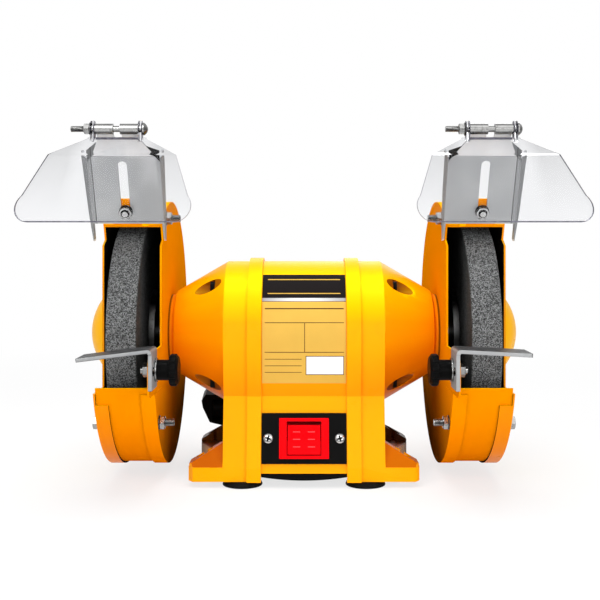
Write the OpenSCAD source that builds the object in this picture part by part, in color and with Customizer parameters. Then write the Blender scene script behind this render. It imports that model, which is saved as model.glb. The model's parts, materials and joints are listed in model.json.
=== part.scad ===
// Bench grinder with two wheels, built up from its separate pieces.
// X runs along the wheel shaft, -Y is the operator's side and +Z is up. The origin is the
// centre of the four bench holes, on the underside of the castings. Millimetres.

/* [Motor housing] */
// Height of the wheel shaft over the underside of the castings
shaft_h = 120; // [116:1:128]
// Outer radius of the motor barrel
barrel_r = 63; // [61.5:0.5:65]
// Wall of the centre shell and the end bells
wall = 4; // [3:0.5:4.5]
// Half length of the centre shell
shell_half = 36; // [35:0.5:39]
// Width of the raised rib on each end bell
rib_w = 12; // [9:1:14]
// How far a rib stands proud of the barrel
rib_proud = 3; // [1.5:0.5:4]
// Length of the straight shoulder beyond a rib
shoulder_l = 21; // [19:1:23]
// Length of the cone beyond the shoulder
cone_l = 45; // [42:1:48]
// Radius of the cone's small end
cone_r = 36; // [34:0.5:38]
// Radius of the boss that carries a guard
boss_r = 33; // [32:0.5:33.5]
// Length of that boss
boss_l = 4.5; // [4:0.5:6]
// Drop of the crease between barrel and base below the shaft
crease_drop = 50; // [48:1:53]
// Half depth of the housing at the crease
waist_y = 57; // [56:0.5:58.5]
// Half depth of the housing at the feet
foot_y = 68; // [66:0.5:71]

/* [Feet] */
// Thickness of the foot flanges
flange_t = 12; // [9:0.5:13]
// Width of a leg outside its rib
leg_w = 20; // [19:0.5:21]
// Reach of a foot flange outside its leg
flange_reach = 29; // [26:1:32]
// Radius of a bench hole
bench_hole_r = 4.25; // [3.5:0.25:5]
// Distance between bench holes along the shaft
bench_hole_x = 168; // [164:1:170]
// Distance between bench holes front to back
bench_hole_y = 104; // [98:1:108]
// Outer radius of a rubber foot
foot_r = 17; // [14:0.5:18]
// Thickness of a rubber foot
foot_t = 5; // [4:0.5:8]
// Distance between rubber feet along the shaft
foot_x = 104; // [102:1:108]
// Distance between rubber feet front to back
foot_gap_y = 112; // [106:1:114]

/* [Switch] */
// Width of the switch plate
plate_w = 71; // [66:1:71]
// Height of the switch plate
plate_h = 42; // [40:1:44]
// Thickness of the switch plate
plate_t = 2; // [1.5:0.25:3]
// Width of the switch bezel
bezel_w = 41.5; // [40:0.5:43]
// Height of the switch bezel
bezel_h = 33.5; // [33:0.5:35]
// Width of the rocker
rocker_w = 28; // [26:0.5:29]
// Height of the rocker
rocker_h = 27; // [25:0.5:27.5]
// Tilt of the rocker either way
rocker_tilt = 7; // [5:0.5:8]
// Distance between the plate screws
plate_screw_x = 60; // [58:1:61]

/* [Wheels and shaft] */
// Radius of a grinding wheel
wheel_r = 100; // [97:1:102]
// Width of a grinding wheel
wheel_w = 25; // [20:1:26]
// Radius of the shaft where it carries a wheel
arbor_r = 8; // [7:0.5:8]
// Radius of the bearing journal
journal_r = 8.5; // [8.5:0.1:9]
// Outer radius of a bearing
bearing_r = 20; // [18:0.5:21]
// Width of a bearing
bearing_w = 12; // [11:0.5:13]
// Radius of a wheel flange
flange_r = 38; // [32:1:40]
// Thickness of a wheel flange
flange_w = 5; // [4:0.5:5]
// Width across flats of a shaft nut
nut_af = 24; // [22:1:26]
// Running clearance of the shaft in what it turns in
run_gap = 0.05; // [0.03:0.01:0.08]

/* [Guards] */
// Gap between the wheel's rim and the guard's lip
guard_gap = 16; // [15:0.5:20]
// Thickness of the guard sheet
guard_t = 1.5; // [1:0.25:1.5]
// Width between the inner plate and the outer cover
guard_w = 46.5; // [45.5:0.5:50]
// Width of the lips that turn over the rim
lip_w = 10; // [8:0.5:12]
// Base radius of the dome over the shaft nut
dome_r = 42; // [41:0.5:46]
// Height of the dome
dome_h = 22; // [21:0.5:24]
// Radius of a guard bolt
guard_bolt_r = 3; // [2.5:0.25:3]
// Forward distance of the plates' front edge from the shaft
mouth_y = 70; // [66:1:74]
// Angle above level at which the rim ends over the wheel
mouth_top = 55; // [54:0.5:56]

/* [Eye shields] */
// Forward lean of a shield bracket
lean = 26; // [25:0.5:27]
// Width of a shield bracket
bracket_w = 59.5; // [59:0.5:60]
// Height of a bracket's lower plate
bracket_h = 61; // [58:1:64]
// Thickness of the bracket sheet
bracket_t = 1.6; // [1.2:0.1:1.8]
// Lean of a bracket's upper plate
upper_lean = 50; // [48:1:52]
// Length of a bracket's upper plate up to the hinge
upper_l = 28.5; // [28:0.5:31]
// How far a bracket slides down as its wheel wears
bracket_travel = 12; // [8:1:12]
// Radius of a hinge bolt
hinge_r = 2.5; // [2.2:0.1:2.8]
// Outer radius of the rolled knuckles
knuckle_r = 4.25; // [4:0.05:4.5]
// Thickness of an eye shield
shield_t = 3; // [2.5:0.25:3]
// Width of a shield at its hinge
shield_top_w = 46; // [44:1:50]
// Width of a shield at its bend
shield_mid_w = 98; // [90:1:106]
// Greatest width of a shield
shield_low_w = 129; // [120:1:136]
// Length of a shield's lower panel
shield_l = 70; // [62:1:76]

/* [Tool rests] */
// Depth of a tool rest, front to back
rest_d = 31; // [29:1:34]
// Length of a tool rest along the shaft
rest_w = 57.5; // [54:0.5:60]
// Thickness of the tool rest sheet
rest_t = 3; // [2.5:0.25:3]
// Droop of the left rest, in degrees
rest_droop_left = 7; // [3:0.5:8]
// Droop of the right rest, in degrees
rest_droop_right = 3; // [2:0.5:8]
// Forward distance of a rest's stud from the shaft
stud_y = 127; // [125:0.5:129]
// Drop of a rest's stud below the shaft
stud_drop = 19; // [18:0.5:20]
// Radius of a rest's stud
stud_r = 3; // [2.5:0.1:3.2]
// How far a rest slides towards its wheel
rest_travel = 13; // [9:1:13]
// Radius of the knob's head
knob_r = 12.5; // [11:0.5:14]
// Radius of the knob's stem
stem_r = 8; // [7:0.5:9]

/* [Hidden] */
$fn = 48;

// Clearances and small sizes that several pieces share
gap = 0.1;                 // between faces that only meet
air_gap = 0.4;             // between rotor and stator
small_nut_af = 10;         // across flats of the small nuts and bolt heads
small_nut_t = 5;
screw_slack = 0.25;        // round a screw in its hole
eps = 0.01;

// Stations along the shaft, measured from the middle
x_shoulder = shell_half + rib_w;
x_cone = x_shoulder + shoulder_l;
x_end = x_cone + cone_l;
x_guard = x_end + boss_l;
x_inner = x_guard + guard_t;
x_cover = x_inner + guard_w;
wheel_shift = 4.25;        // of the wheel's middle from the guard's, away from the motor
x_mid = x_inner + guard_w / 2 + wheel_shift;
x_wheel = x_mid - wheel_w / 2;
x_journal = x_wheel - flange_w - 1;
x_bearing = x_end - 2 - bearing_w;
x_nut = x_wheel + wheel_w + flange_w;
nut_t = 13;
shaft_body_r = 10;         // of the shaft inside the motor
coil_l = 15;               // of a winding beyond the stator's core
shaft_end = x_nut + nut_t + 3;

// Housing
barrel_in = barrel_r - wall;
boss_bore_r = 11;
flank_r = 208;             // radius of the gently curved flank under the barrel
crease_z = shaft_h - crease_drop;
panel_tilt = atan((foot_y - waist_y) / (crease_z - flange_t));
bolt_circle = barrel_r - 9;
bolt_angle = 50;
housing_bolt_r = 2.5;
scallop_r = 6.8;
scallop_x = x_cone + 8;
core_r = barrel_in - gap;
core_half = 25;
core_ring = 28.5;          // from the stator's bore to its rim
core_bore = core_r - core_ring;
foot_hole_r = 2.5;
gland_hole_r = 5;
glue_t = 0.06;             // under the name plate
foil_t = 0.4;
foil_top = 55;             // the name plate reaches this far round above level
foil_low = 33;             // and this far below it
cover_r = wheel_r + guard_gap;
rim_r = cover_r - guard_t - gap;
rim_t = 1.2;
guard_bolt_circle = cover_r - 7;
guard_bolt_angles = [180 - 67, 180 + 38, -10];
guard_screw_circle = (boss_bore_r + boss_r) / 2 + 3;
guard_head_t = 4;
clamp_head_t = 2.2;        // of the domed bolt that clamps a bracket
clamp_head_r = 6;
clamp_bolt_l = rim_t + bracket_t + 2 * gap + small_nut_t + 3;
lip_low_inner = 21;
lip_low_outer = 26;
rim_low = 18.4;
mouth_low = 40.5;

// The shield bracket stands on this point, and leans forward from it
slope_y = (cover_r + 1.6) * cos(mouth_top);
slope_z = (cover_r + 1.6) * sin(mouth_top);
bracket_x = x_guard - 0.3 - bracket_t;
clamp_h = 11;              // height of the clamp bolt up the slope
slot_r = guard_bolt_r + 0.75;
slot_l = 40.5;
flange_splay = 22;         // of a bracket's outer flange, beyond square
hinge_y = slope_y + bracket_h * sin(lean) + upper_l * sin(upper_lean);
hinge_z = slope_z + bracket_h * cos(lean) + upper_l * cos(upper_lean);
knuckle_l = 14.2;
knuckle_gap = 5.5;
tongue_inset = 0.4;
ear_t = 2.8;
ear_r = 6.5;
ear_x = knuckle_l + knuckle_gap / 2 + 0.4;
hinge_head_r = 5;
shield_start_y = 2.6;      // from the hinge to the shield's upper edge
shield_start_z = -7.6;
shield_upper_l = 27;
shield_upper_tilt = 58;
shield_tilt = 41;

// Tool rests
rest_top = 1;              // drop of a rest's top face below the shaft at its inner edge
ear_round = 13;
tab_x = x_guard - gap - rest_t;
washer_t = 1.5;
washer_x = tab_x - gap - washer_t;
stem_x = washer_x - gap;
stem_l = 9.6;
head_l = 7;
tab_low = 14;              // reach of the tab below the stud

// ---- helpers ----
module at_shaft() {
    translate([0, 0, shaft_h]) children();
}

module left_side() {
    mirror([1, 0, 0]) children();
}

// A flat outline drawn as (Y, Z), standing from x0 to x1
module slab_x(x0, x1) {
    translate([x0, 0, 0]) rotate([90, 0, 90]) linear_extrude(x1 - x0) children();
}

// A straight round bar along X
module bar_x(x0, x1, r) {
    translate([x0, 0, 0]) rotate([0, 90, 0]) cylinder(h = x1 - x0, r = r, $fn = 96);
}

// A turned piece whose outline is drawn as (radius, X)
module turned_x(points) {
    rotate([0, 90, 0]) rotate_extrude($fn = 96) polygon(points);
}

module ring_x(x0, x1, r_out, r_in) {
    difference() {
        bar_x(x0, x1, r_out);
        bar_x(x0 - 1, x1 + 1, r_in);
    }
}

// A hexagon nut along X with a plain bore
module hex_x(x0, x1, af, bore) {
    difference() {
        translate([x0, 0, 0]) rotate([0, 90, 0]) cylinder(h = x1 - x0, r = af / sqrt(3), $fn = 6);
        bar_x(x0 - 1, x1 + 1, bore);
    }
}

// Copies at polar places in the YZ plane, angle measured from +Y
module polar(radius, angles) {
    for (a = angles) {
        translate([0, radius * cos(a), radius * sin(a)]) children();
    }
}

module four_corners(dx, dy) {
    for (sx = [-1, 1], sy = [-1, 1]) {
        translate([sx * dx / 2, sy * dy / 2, 0]) children();
    }
}

// The slanted front of the base: +Z of the children stands out of it, Y runs up it
module on_panel(height) {
    drop = crease_z - height;
    translate([0, -waist_y - drop * tan(panel_tilt), height])
        rotate([90 - panel_tilt, 0, 0]) children();
}

function panel_y(height) = waist_y + (crease_z - height) * tan(panel_tilt);

// ---- housing ----
// Cross-section of the housing, drawn as (Y, Z) with Z from the underside
module housing_section(grow) {
    translate([0, shaft_h]) circle(barrel_r + grow, $fn = 160);
    intersection() {
        translate([flank_r - barrel_r - grow, shaft_h]) circle(flank_r, $fn = 160);
        translate([barrel_r + grow - flank_r, shaft_h]) circle(flank_r, $fn = 160);
        translate([-100, crease_z - 0.5]) square([200, crease_drop + 0.5]);
    }
    foot = foot_y + grow;
    waist = waist_y + grow;
    polygon([[-waist, crease_z], [waist, crease_z], [foot, flange_t], [foot, 0], [-foot, 0],
        [-foot, flange_t]]);
}

module leg_hollow_section() {
    foot = foot_y - wall;
    waist = waist_y - wall;
    polygon([[-waist, crease_z - 12], [waist, crease_z - 12], [foot, flange_t], [-foot, flange_t]]);
}

module bell_outer() {
    at_shaft() turned_x([[0, shell_half], [barrel_r + rib_proud, shell_half],
        [barrel_r + rib_proud, x_shoulder - 1], [barrel_r + rib_proud - 1, x_shoulder],
        [barrel_r, x_shoulder], [barrel_r, x_cone - 3], [barrel_r - 0.8, x_cone],
        [cone_r + 1, x_end - 1.5], [cone_r - 1, x_end], [boss_r, x_end], [boss_r, x_guard],
        [0, x_guard]]);
    slab_x(shell_half, x_shoulder) housing_section(rib_proud);
    slab_x(x_shoulder - eps, x_shoulder + leg_w) housing_section(0);
    foot_flange();
}

// One foot flange: two lobes with the bench holes, and a waist between them
module foot_flange() {
    reach = x_shoulder + leg_w + flange_reach;
    waist = x_shoulder + leg_w + flange_reach / 2;
    linear_extrude(flange_t)
        polygon([[shell_half + 4, -foot_y], [reach - 4, -foot_y], [reach, -foot_y + 6],
            [reach - 1, -foot_y + 30], [waist, -8], [waist, 8], [reach - 1, foot_y - 30],
            [reach, foot_y - 6], [reach - 4, foot_y], [shell_half + 4, foot_y]]);
}

module bell_inner() {
    inner_end = x_bearing - 3;
    at_shaft() turned_x([[0, shell_half - 1], [barrel_in, shell_half - 1], [barrel_in, x_cone - 2],
        [cone_r, inner_end - 8], [boss_bore_r + 13, inner_end], [0, inner_end]]);
    slab_x(shell_half - 1, x_shoulder + leg_w - wall) leg_hollow_section();
    slab_x(shell_half - 1, shell_half + 4) translate([-foot_y + wall, -1])
        square([2 * (foot_y - wall), flange_t + 2]);
}

module end_bell() {
    difference() {
        bell_outer();
        bell_inner();
        at_shaft() bar_x(x_bearing, x_bearing + bearing_w, bearing_r);
        at_shaft() bar_x(x_bearing - 10, x_bearing + eps, bearing_r - 2.5);
        at_shaft() bar_x(x_bearing, x_guard + 1, boss_bore_r);
        at_shaft() polar(bolt_circle, [bolt_angle, 180 - bolt_angle, 180 + bolt_angle, -bolt_angle]) {
            bar_x(scallop_x, x_end, scallop_r);
            bar_x(shell_half - 1, scallop_x + 1, housing_bolt_r + screw_slack);
        }
        at_shaft() polar(guard_screw_circle, [30, 150, 270])
            bar_x(x_end - 8, x_guard + 1, 2.25);
        four_corners(bench_hole_x, bench_hole_y)
            translate([0, 0, -1]) cylinder(h = flange_t + 2, r = bench_hole_r);
        four_corners(foot_x, foot_gap_y)
            translate([0, 0, -1]) cylinder(h = flange_t + 2, r = foot_hole_r);
    }
}

module end_bell_right() {
    color("#ffb400") end_bell();
}

module end_bell_left() {
    color("#ffb400") left_side() end_bell();
}

module motor_shell() {
    color("#ffb400") difference() {
        slab_x(-shell_half, shell_half) difference() {
            housing_section(0);
            translate([0, shaft_h]) circle(barrel_in, $fn = 160);
            leg_hollow_section();
            translate([-foot_y + wall, -1]) square([2 * (foot_y - wall), flange_t + 1 + eps]);
        }
        translate([-shell_half - 1, -foot_y - 5, -1])
            cube([2 * shell_half + 2, 2 * foot_y + 10, pan_top + 1]);
        on_panel(switch_z) translate([-bezel_w / 2 + 2, -bezel_h / 2 + 2, -3 * wall])
            cube([bezel_w - 4, bezel_h - 4, 4 * wall]);
        switch_screw_places() translate([0, 0, -3 * wall]) cylinder(h = 4 * wall, r = 1.75);
        on_back(gland_z) translate([gland_x, 0, -2 * wall]) cylinder(h = 3 * wall, r = gland_hole_r);
    }
}

pan_top = 7;
pan_lip_r = 228;
module bottom_pan() {
    half = shell_half - gap;
    color("#141414") difference() {
        intersection() {
            translate([-half, -foot_y, 0.4]) cube([2 * half, 2 * foot_y, pan_top - 0.4]);
            translate([0, 0, pan_lip_r + 1]) rotate([90, 0, 0])
                cylinder(h = 3 * foot_y, r = pan_lip_r, center = true, $fn = 200);
        }
        translate([-half + 2, -foot_y + 2, 4]) cube([2 * half - 4, 2 * foot_y - 4, pan_top]);
    }
}

module housing_bolts() {
    color("#8f9296") at_shaft()
        polar(bolt_circle, [bolt_angle, 180 - bolt_angle, 180 + bolt_angle, -bolt_angle]) {
            bar_x(-scallop_x, scallop_x, housing_bolt_r);
            bar_x(scallop_x, scallop_x + 3.2, housing_bolt_r + 2);
            hex_x(-scallop_x - 4, -scallop_x, 8, 0.01);
        }
}

module name_plate() {
    half = shell_half - 0.5;
    color("#dcae55") slab_x(-half, half) intersection() {
        difference() {
            housing_section(glue_t + foil_t);
            housing_section(glue_t);
        }
        translate([0, shaft_h]) wedge(180 - foil_top, 180 + foil_low);
    }
}

// ---- feet ----
module rubber_feet() {
    color("#101010") four_corners(foot_x, foot_gap_y) translate([0, 0, -foot_t]) rotate_extrude($fn = 64)
        polygon([[foot_hole_r + 3, 1.5], [foot_hole_r + 4.5, 0], [foot_r - 0.8, 0], [foot_r, 0.8],
            [foot_r - 1, foot_t - 1.6],
            [foot_r - 3.5, foot_t], [foot_hole_r + screw_slack, foot_t],
            [foot_hole_r + screw_slack, 3], [foot_hole_r + 3, 3]]);
}

module foot_screws() {
    color("#8f9296") four_corners(foot_x, foot_gap_y) {
        translate([0, 0, -foot_t + 2]) cylinder(h = foot_t - 2 + flange_t + 1, r = foot_hole_r - gap);
        translate([0, 0, -foot_t + 1.6]) cylinder(h = 1.4, r = foot_hole_r + 2.5);
    }
}

// ---- switch ----
switch_z = crease_z - 34.5;
module switch_screw_places() {
    for (s = [-1, 1]) {
        on_panel(switch_z) translate([s * plate_screw_x / 2, 0, 0]) children();
    }
}

module switch_plate() {
    color("#161616") difference() {
        on_panel(switch_z) translate([-plate_w / 2, -plate_h / 2, 0]) cube([plate_w, plate_h, plate_t]);
        on_panel(switch_z) translate([-bezel_w / 2 + 2 - gap, -bezel_h / 2 + 2 - gap, -1])
            cube([bezel_w - 4 + 2 * gap, bezel_h - 4 + 2 * gap, plate_t + 2]);
        switch_screw_places() translate([0, 0, -1]) cylinder(h = plate_t + 2, r = 1.75);
    }
}

module switch_screws() {
    color("#d8d8d8") switch_screw_places() {
        translate([0, 0, -8]) cylinder(h = 8 + plate_t + gap, r = 1.6);
        difference() {
            translate([0, 0, plate_t]) cylinder(h = 2, r1 = 4.1, r2 = 3);
            for (a = [0, 90]) rotate([0, 0, a]) translate([-2.2, -0.5, plate_t + 1]) cube([4.4, 1, 2]);
        }
    }
}

bezel_t = 3;
bezel_depth = 18;          // of the switch body behind the panel
socket_depth = 14;
rocker_depth = 6;          // of the rocker's pivot behind the bezel's face
module switch_bezel() {
    color("#e01010") difference() {
        union() {
            on_panel(switch_z) translate([-bezel_w / 2, -bezel_h / 2, plate_t])
                cube([bezel_w, bezel_h, bezel_t]);
            on_panel(switch_z)
                translate([-bezel_w / 2 + 2 + gap, -bezel_h / 2 + 2 + gap, -bezel_depth])
                cube([bezel_w - 4 - 2 * gap, bezel_h - 4 - 2 * gap, bezel_depth + plate_t + eps]);
        }
        on_panel(switch_z) translate([-rocker_w / 2 - 0.4, -rocker_h / 2 - 0.5, -socket_depth])
            cube([rocker_w + 0.8, rocker_h + 1, 2 * socket_depth]);
        on_panel(switch_z) translate([0, 0, plate_t + bezel_t - rocker_depth]) rotate([0, 90, 0])
            cylinder(h = rocker_w + 4, r = 1.5 + run_gap, center = true);
    }
}

module switch_rocker() {
    width = rocker_w - 0.4;
    face = rocker_h / 2 - 0.9;
    color("#f01820") on_panel(switch_z) translate([0, 0, plate_t + bezel_t - rocker_depth]) {
        rotate([0, 90, 0]) cylinder(h = rocker_w + 3, r = 1.5, center = true);
        rotate([rocker_tilt, 0, 0]) translate([-width / 2, 0, 0]) rotate([90, 0, 90])
            linear_extrude(width) polygon([[-face, 6.4], [0, 5.6], [face, 6.4], [face - 1, 0], [5, -6],
                [-5, -6], [-face + 1, 0]]);
    }
}

// ---- motor inside ----
module stator_core() {
    color("#6d7074") at_shaft() difference() {
        ring_x(-core_half, core_half, core_r, core_bore);
        polar(bolt_circle, [bolt_angle, 180 - bolt_angle, 180 + bolt_angle, -bolt_angle])
            bar_x(-core_half - 1, core_half + 1, housing_bolt_r + 0.5);
    }
}

module stator_windings() {
    color("#b5651d") at_shaft() for (s = [-1, 1]) {
        mirror([s > 0 ? 0 : 1, 0, 0]) turned_x([[core_bore + 3, core_half],
            [core_bore + 4, core_half + coil_l - 4], [core_bore + 8, core_half + coil_l],
            [bolt_circle - 9, core_half + coil_l], [bolt_circle - 5, core_half + coil_l - 4],
            [bolt_circle - 4, core_half]]);
    }
}

race_r = (bearing_r + journal_r) / 2;
ball_r = 3.2;
groove_r = ball_r + gap;
module both_ends() {
    children();
    left_side() children();
}

module bearing_outer_rings() {
    color("#b9bcc0") at_shaft() both_ends() difference() {
        ring_x(x_bearing, x_bearing + bearing_w, bearing_r, race_r + 2.2);
        translate([x_bearing + bearing_w / 2, 0, 0]) rotate([0, 90, 0])
            rotate_extrude($fn = 96) translate([race_r, 0]) circle(groove_r, $fn = 32);
    }
}

module bearing_inner_rings() {
    color("#c6c9cc") at_shaft() both_ends() difference() {
        ring_x(x_bearing, x_bearing + bearing_w, race_r - 2.2, journal_r);
        translate([x_bearing + bearing_w / 2, 0, 0]) rotate([0, 90, 0])
            rotate_extrude($fn = 96) translate([race_r, 0]) circle(groove_r, $fn = 32);
    }
}

module bearing_balls() {
    color("#e0e2e4") at_shaft() both_ends() translate([x_bearing + bearing_w / 2, 0, 0])
        polar(race_r, [for (i = [0:7]) i * 45]) sphere(ball_r, $fn = 32);
}

module rotor_shaft() {
    color("#9a9da1") at_shaft() both_ends() turned_x([[0, 0], [shaft_body_r, 0],
        [shaft_body_r, x_bearing],
        [journal_r, x_bearing], [journal_r, x_journal], [arbor_r, x_journal],
        [arbor_r, shaft_end - 1], [arbor_r - 1, shaft_end], [0, shaft_end]]);
}

module rotor_core() {
    color("#85888c") at_shaft() ring_x(-core_half, core_half, core_bore - air_gap, shaft_body_r);
}

// ---- capacitor and supply ----
box_start = x_shoulder + 0.5;
box_reach = 98.5;
box_depth = 26;
box_top = 30;              // up the slanted back from its foot
box_toe = 19.5;            // where its outer lower corner starts
box_low = 24;
cap_r = 10.5;
cap_l = 34;
cap_y = 14;
gland_x = 12;
gland_z = 34;
cord_r = 3.3;
gland_l = 22;

// The slanted back of the base: +Z of the children stands out of it, Y runs up it
module on_back(height) {
    translate([0, panel_y(height), height]) rotate([-90 + panel_tilt, 0, 0])
        mirror([0, 1, 0]) children();
}

module box_outline() {
    polygon([[box_reach - 4, box_top], [box_reach, box_top - 6], [box_reach - 1, box_top - 13],
        [box_reach - 7.5, 2], [box_reach - box_toe, -1], [box_start, -1], [box_start, box_top]]);
}

module capacitor_box() {
    fit = cap_r + 0.3;
    color("#1a1a1a") left_side() difference() {
        on_back(box_low) linear_extrude(box_depth) box_outline();
        on_back(box_low) translate([box_start + 5, cap_y - fit, -1])
            cube([cap_l + 0.6, 2 * fit, 1 + gap + 2 * fit]);
    }
}

module run_capacitor() {
    color("#c8ccd0") left_side() on_back(box_low)
        translate([box_start + 5.3, cap_y, gap + cap_r + 0.3]) rotate([0, 90, 0])
        cylinder(h = cap_l, r = cap_r);
}

module cord_gland() {
    color("#151515") on_back(gland_z) translate([gland_x, 0, 0]) rotate_extrude($fn = 64)
        polygon([[cord_r, -wall - 3], [gland_hole_r - gap, -wall - 3], [gland_hole_r - gap, 0],
            [gland_hole_r + 3, 0], [gland_hole_r + 3, 3], [gland_hole_r + 1, 5],
            [cord_r + 1.5, gland_l], [cord_r, gland_l]]);
}

// ---- wheels ----
module wheel() {
    at_shaft() difference() {
        turned_x([[arbor_r, x_wheel], [wheel_r - 1, x_wheel], [wheel_r, x_wheel + 1],
            [wheel_r, x_wheel + wheel_w - 1], [wheel_r - 1, x_wheel + wheel_w],
            [arbor_r, x_wheel + wheel_w]]);
        bar_x(x_wheel - 1, x_wheel + wheel_w + 1, arbor_r + run_gap);
    }
}

module wheel_right() {
    color("#4c5560") wheel();
}

module wheel_left() {
    color("#4c5560") left_side() wheel();
}

module wheel_flanges() {
    color("#a4a7ab") at_shaft() both_ends() {
        ring_x(x_journal, x_wheel, flange_r, arbor_r + run_gap);
        ring_x(x_wheel + wheel_w, x_nut, flange_r, arbor_r + run_gap);
    }
}

module shaft_nuts() {
    color("#a9acb0") at_shaft() both_ends() hex_x(x_nut, x_nut + nut_t, nut_af, arbor_r + run_gap);
}

// ---- guards ----
module wedge(from, to) {
    far = 2 * cover_r;
    mid = (from + to) / 2;
    polygon([[0, 0], [far * cos(from), far * sin(from)], [far * cos(mid), far * sin(mid)],
        [far * cos(to), far * sin(to)]]);
}

module arc_band(r_out, t, low) {
    difference() {
        circle(r_out, $fn = 200);
        circle(r_out - t, $fn = 200);
        wedge(180 - mouth_top, 180 + low);
    }
}

// Outline of a guard plate, with room for the bracket that slides past it
module guard_outline() {
    difference() {
        circle(cover_r, $fn = 200);
        translate([-2 * cover_r, -mouth_low]) square([2 * cover_r - mouth_y, 3 * cover_r]);
        translate([-slope_y, slope_z]) rotate(lean)
            translate([-200, -bracket_travel - 4]) square([200.9, 200]);
    }
}

function arc(centre, r, from, to, steps) =
    [for (i = [0:steps]) let (a = from + (to - from) * i / steps) centre + r * [cos(a), sin(a)]];

// The ear that carries a tool rest's stud, round where the rest turns over it
module ear_outline() {
    low = mouth_low - 0.5;
    corner = 6;
    polygon(concat([[-mouth_y + 8, ear_round - stud_drop]],
        arc([-stud_y, -stud_drop], ear_round, 90, 180, 10),
        arc([-stud_y - ear_round + corner, -low + corner], corner, 180, 270, 5),
        [[-mouth_y + 8, -low]]));
}

module inner_guard() {
    at_shaft() difference() {
        union() {
            slab_x(x_guard, x_inner) union() {
                guard_outline();
                ear_outline();
            }
            slab_x(x_inner, x_inner + lip_w) arc_band(cover_r, guard_t, lip_low_inner);
        }
        bar_x(x_guard - 1, x_inner + 1, boss_bore_r + 3);
        polar(guard_screw_circle, [30, 150, 270]) bar_x(x_guard - 1, x_inner + 1, 2.25);
        polar(guard_bolt_circle, guard_bolt_angles)
            bar_x(x_guard - 1, x_inner + 1, guard_bolt_r + screw_slack);
        translate([0, -stud_y, -stud_drop]) bar_x(x_guard - 1, x_inner + 1, stud_r + run_gap);
    }
}

module guard_rim() {
    at_shaft() difference() {
        union() {
            slab_x(x_inner, x_cover) arc_band(rim_r, rim_t, rim_low);
            translate([x_mid - 12, -slope_y, slope_z]) rotate([lean, 0, 0])
                translate([0, gap, -3.6]) cube([24, rim_t, 25]);
        }
        clamp_place() rotate([90, 0, 0])
            cylinder(h = 20, r = guard_bolt_r + screw_slack, center = true);
    }
}

module outer_cover() {
    dome_x = x_cover + guard_t;
    sphere_r = (dome_r * dome_r + dome_h * dome_h) / (2 * dome_h);
    centre = dome_x + dome_h - sphere_r;
    at_shaft() difference() {
        union() {
            slab_x(x_cover, dome_x) guard_outline();
            slab_x(x_cover - lip_w, x_cover) arc_band(cover_r, guard_t, lip_low_outer);
            intersection() {
                translate([centre, 0, 0]) rotate([0, 90, 0]) sphere(sphere_r, $fn = 120);
                bar_x(x_cover, dome_x + dome_h + 5, dome_r + 5);
            }
        }
        intersection() {
            translate([centre, 0, 0]) rotate([0, 90, 0]) sphere(sphere_r - guard_t, $fn = 120);
            bar_x(x_cover - 5, dome_x + dome_h + 5, dome_r + 5);
        }
        polar(guard_bolt_circle, guard_bolt_angles)
            bar_x(x_cover - 1, dome_x + 1, guard_bolt_r + screw_slack);
    }
}

module inner_guard_right() {
    color("#f59600") inner_guard();
}

module inner_guard_left() {
    color("#f59600") left_side() inner_guard();
}

module guard_rim_right() {
    color("#f59600") guard_rim();
}

module guard_rim_left() {
    color("#f59600") left_side() guard_rim();
}

module outer_cover_right() {
    color("#f59600") outer_cover();
}

module outer_cover_left() {
    color("#f59600") left_side() outer_cover();
}

module guard_bolts() {
    color("#a9acb0") at_shaft() both_ends() polar(guard_bolt_circle, guard_bolt_angles) {
        bar_x(x_guard - small_nut_t - 7.5, x_cover + guard_t, guard_bolt_r);
        translate([x_cover + guard_t, 0, 0]) rotate([0, 90, 0])
            cylinder(h = guard_head_t, r = small_nut_af / sqrt(3), $fn = 6);
    }
}

module guard_nuts() {
    color("#b3b6ba") at_shaft() both_ends() polar(guard_bolt_circle, guard_bolt_angles)
        hex_x(x_guard - small_nut_t, x_guard, small_nut_af, guard_bolt_r + run_gap);
}

module guard_screws() {
    color("#8f9296") at_shaft() both_ends() polar(guard_screw_circle, [30, 150, 270]) {
        bar_x(x_end - 6, x_inner, 2.1);
        bar_x(x_inner, x_inner + 2.4, 4);
    }
}

// ---- shield brackets ----
module on_slope() {
    translate([0, -slope_y, slope_z]) rotate([lean, 0, 0]) children();
}

module clamp_place() {
    on_slope() translate([x_mid, 0, clamp_h]) children();
}

module bracket_bolts() {
    color("#a9acb0") at_shaft() both_ends() clamp_place() rotate([90, 0, 0]) {
        translate([0, 0, -rim_t - gap]) cylinder(h = clamp_bolt_l, r = guard_bolt_r);
        translate([0, 0, -rim_t - gap - clamp_head_t])
            cylinder(h = clamp_head_t, r = clamp_head_r);
    }
}

module bracket_nuts() {
    color("#b3b6ba") at_shaft() both_ends() clamp_place() rotate([90, 0, 0]) difference() {
        translate([0, 0, bracket_t + gap])
            cylinder(h = small_nut_t, r = small_nut_af / sqrt(3), $fn = 6);
        cylinder(h = 20, r = guard_bolt_r + run_gap, center = true);
    }
}

function unit(v) = v / norm(v);
function left_of(v) = [-v[1], v[0]];

// A strip of sheet bent once, at b
module bent_strip(a, b, c, t) {
    n1 = left_of(unit(b - a)) * t / 2;
    n2 = left_of(unit(c - b)) * t / 2;
    m = (n1 + n2) / (1 + n1 * n2 * 4 / (t * t));
    polygon([a + n1, b + m, c + n2, c - n2, b - m, a - n1]);
}

knuckle_start = x_mid - knuckle_gap / 2 - knuckle_l;
knuckle_second = x_mid + knuckle_gap / 2;
rise = upper_l * cos(upper_lean - lean);

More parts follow.
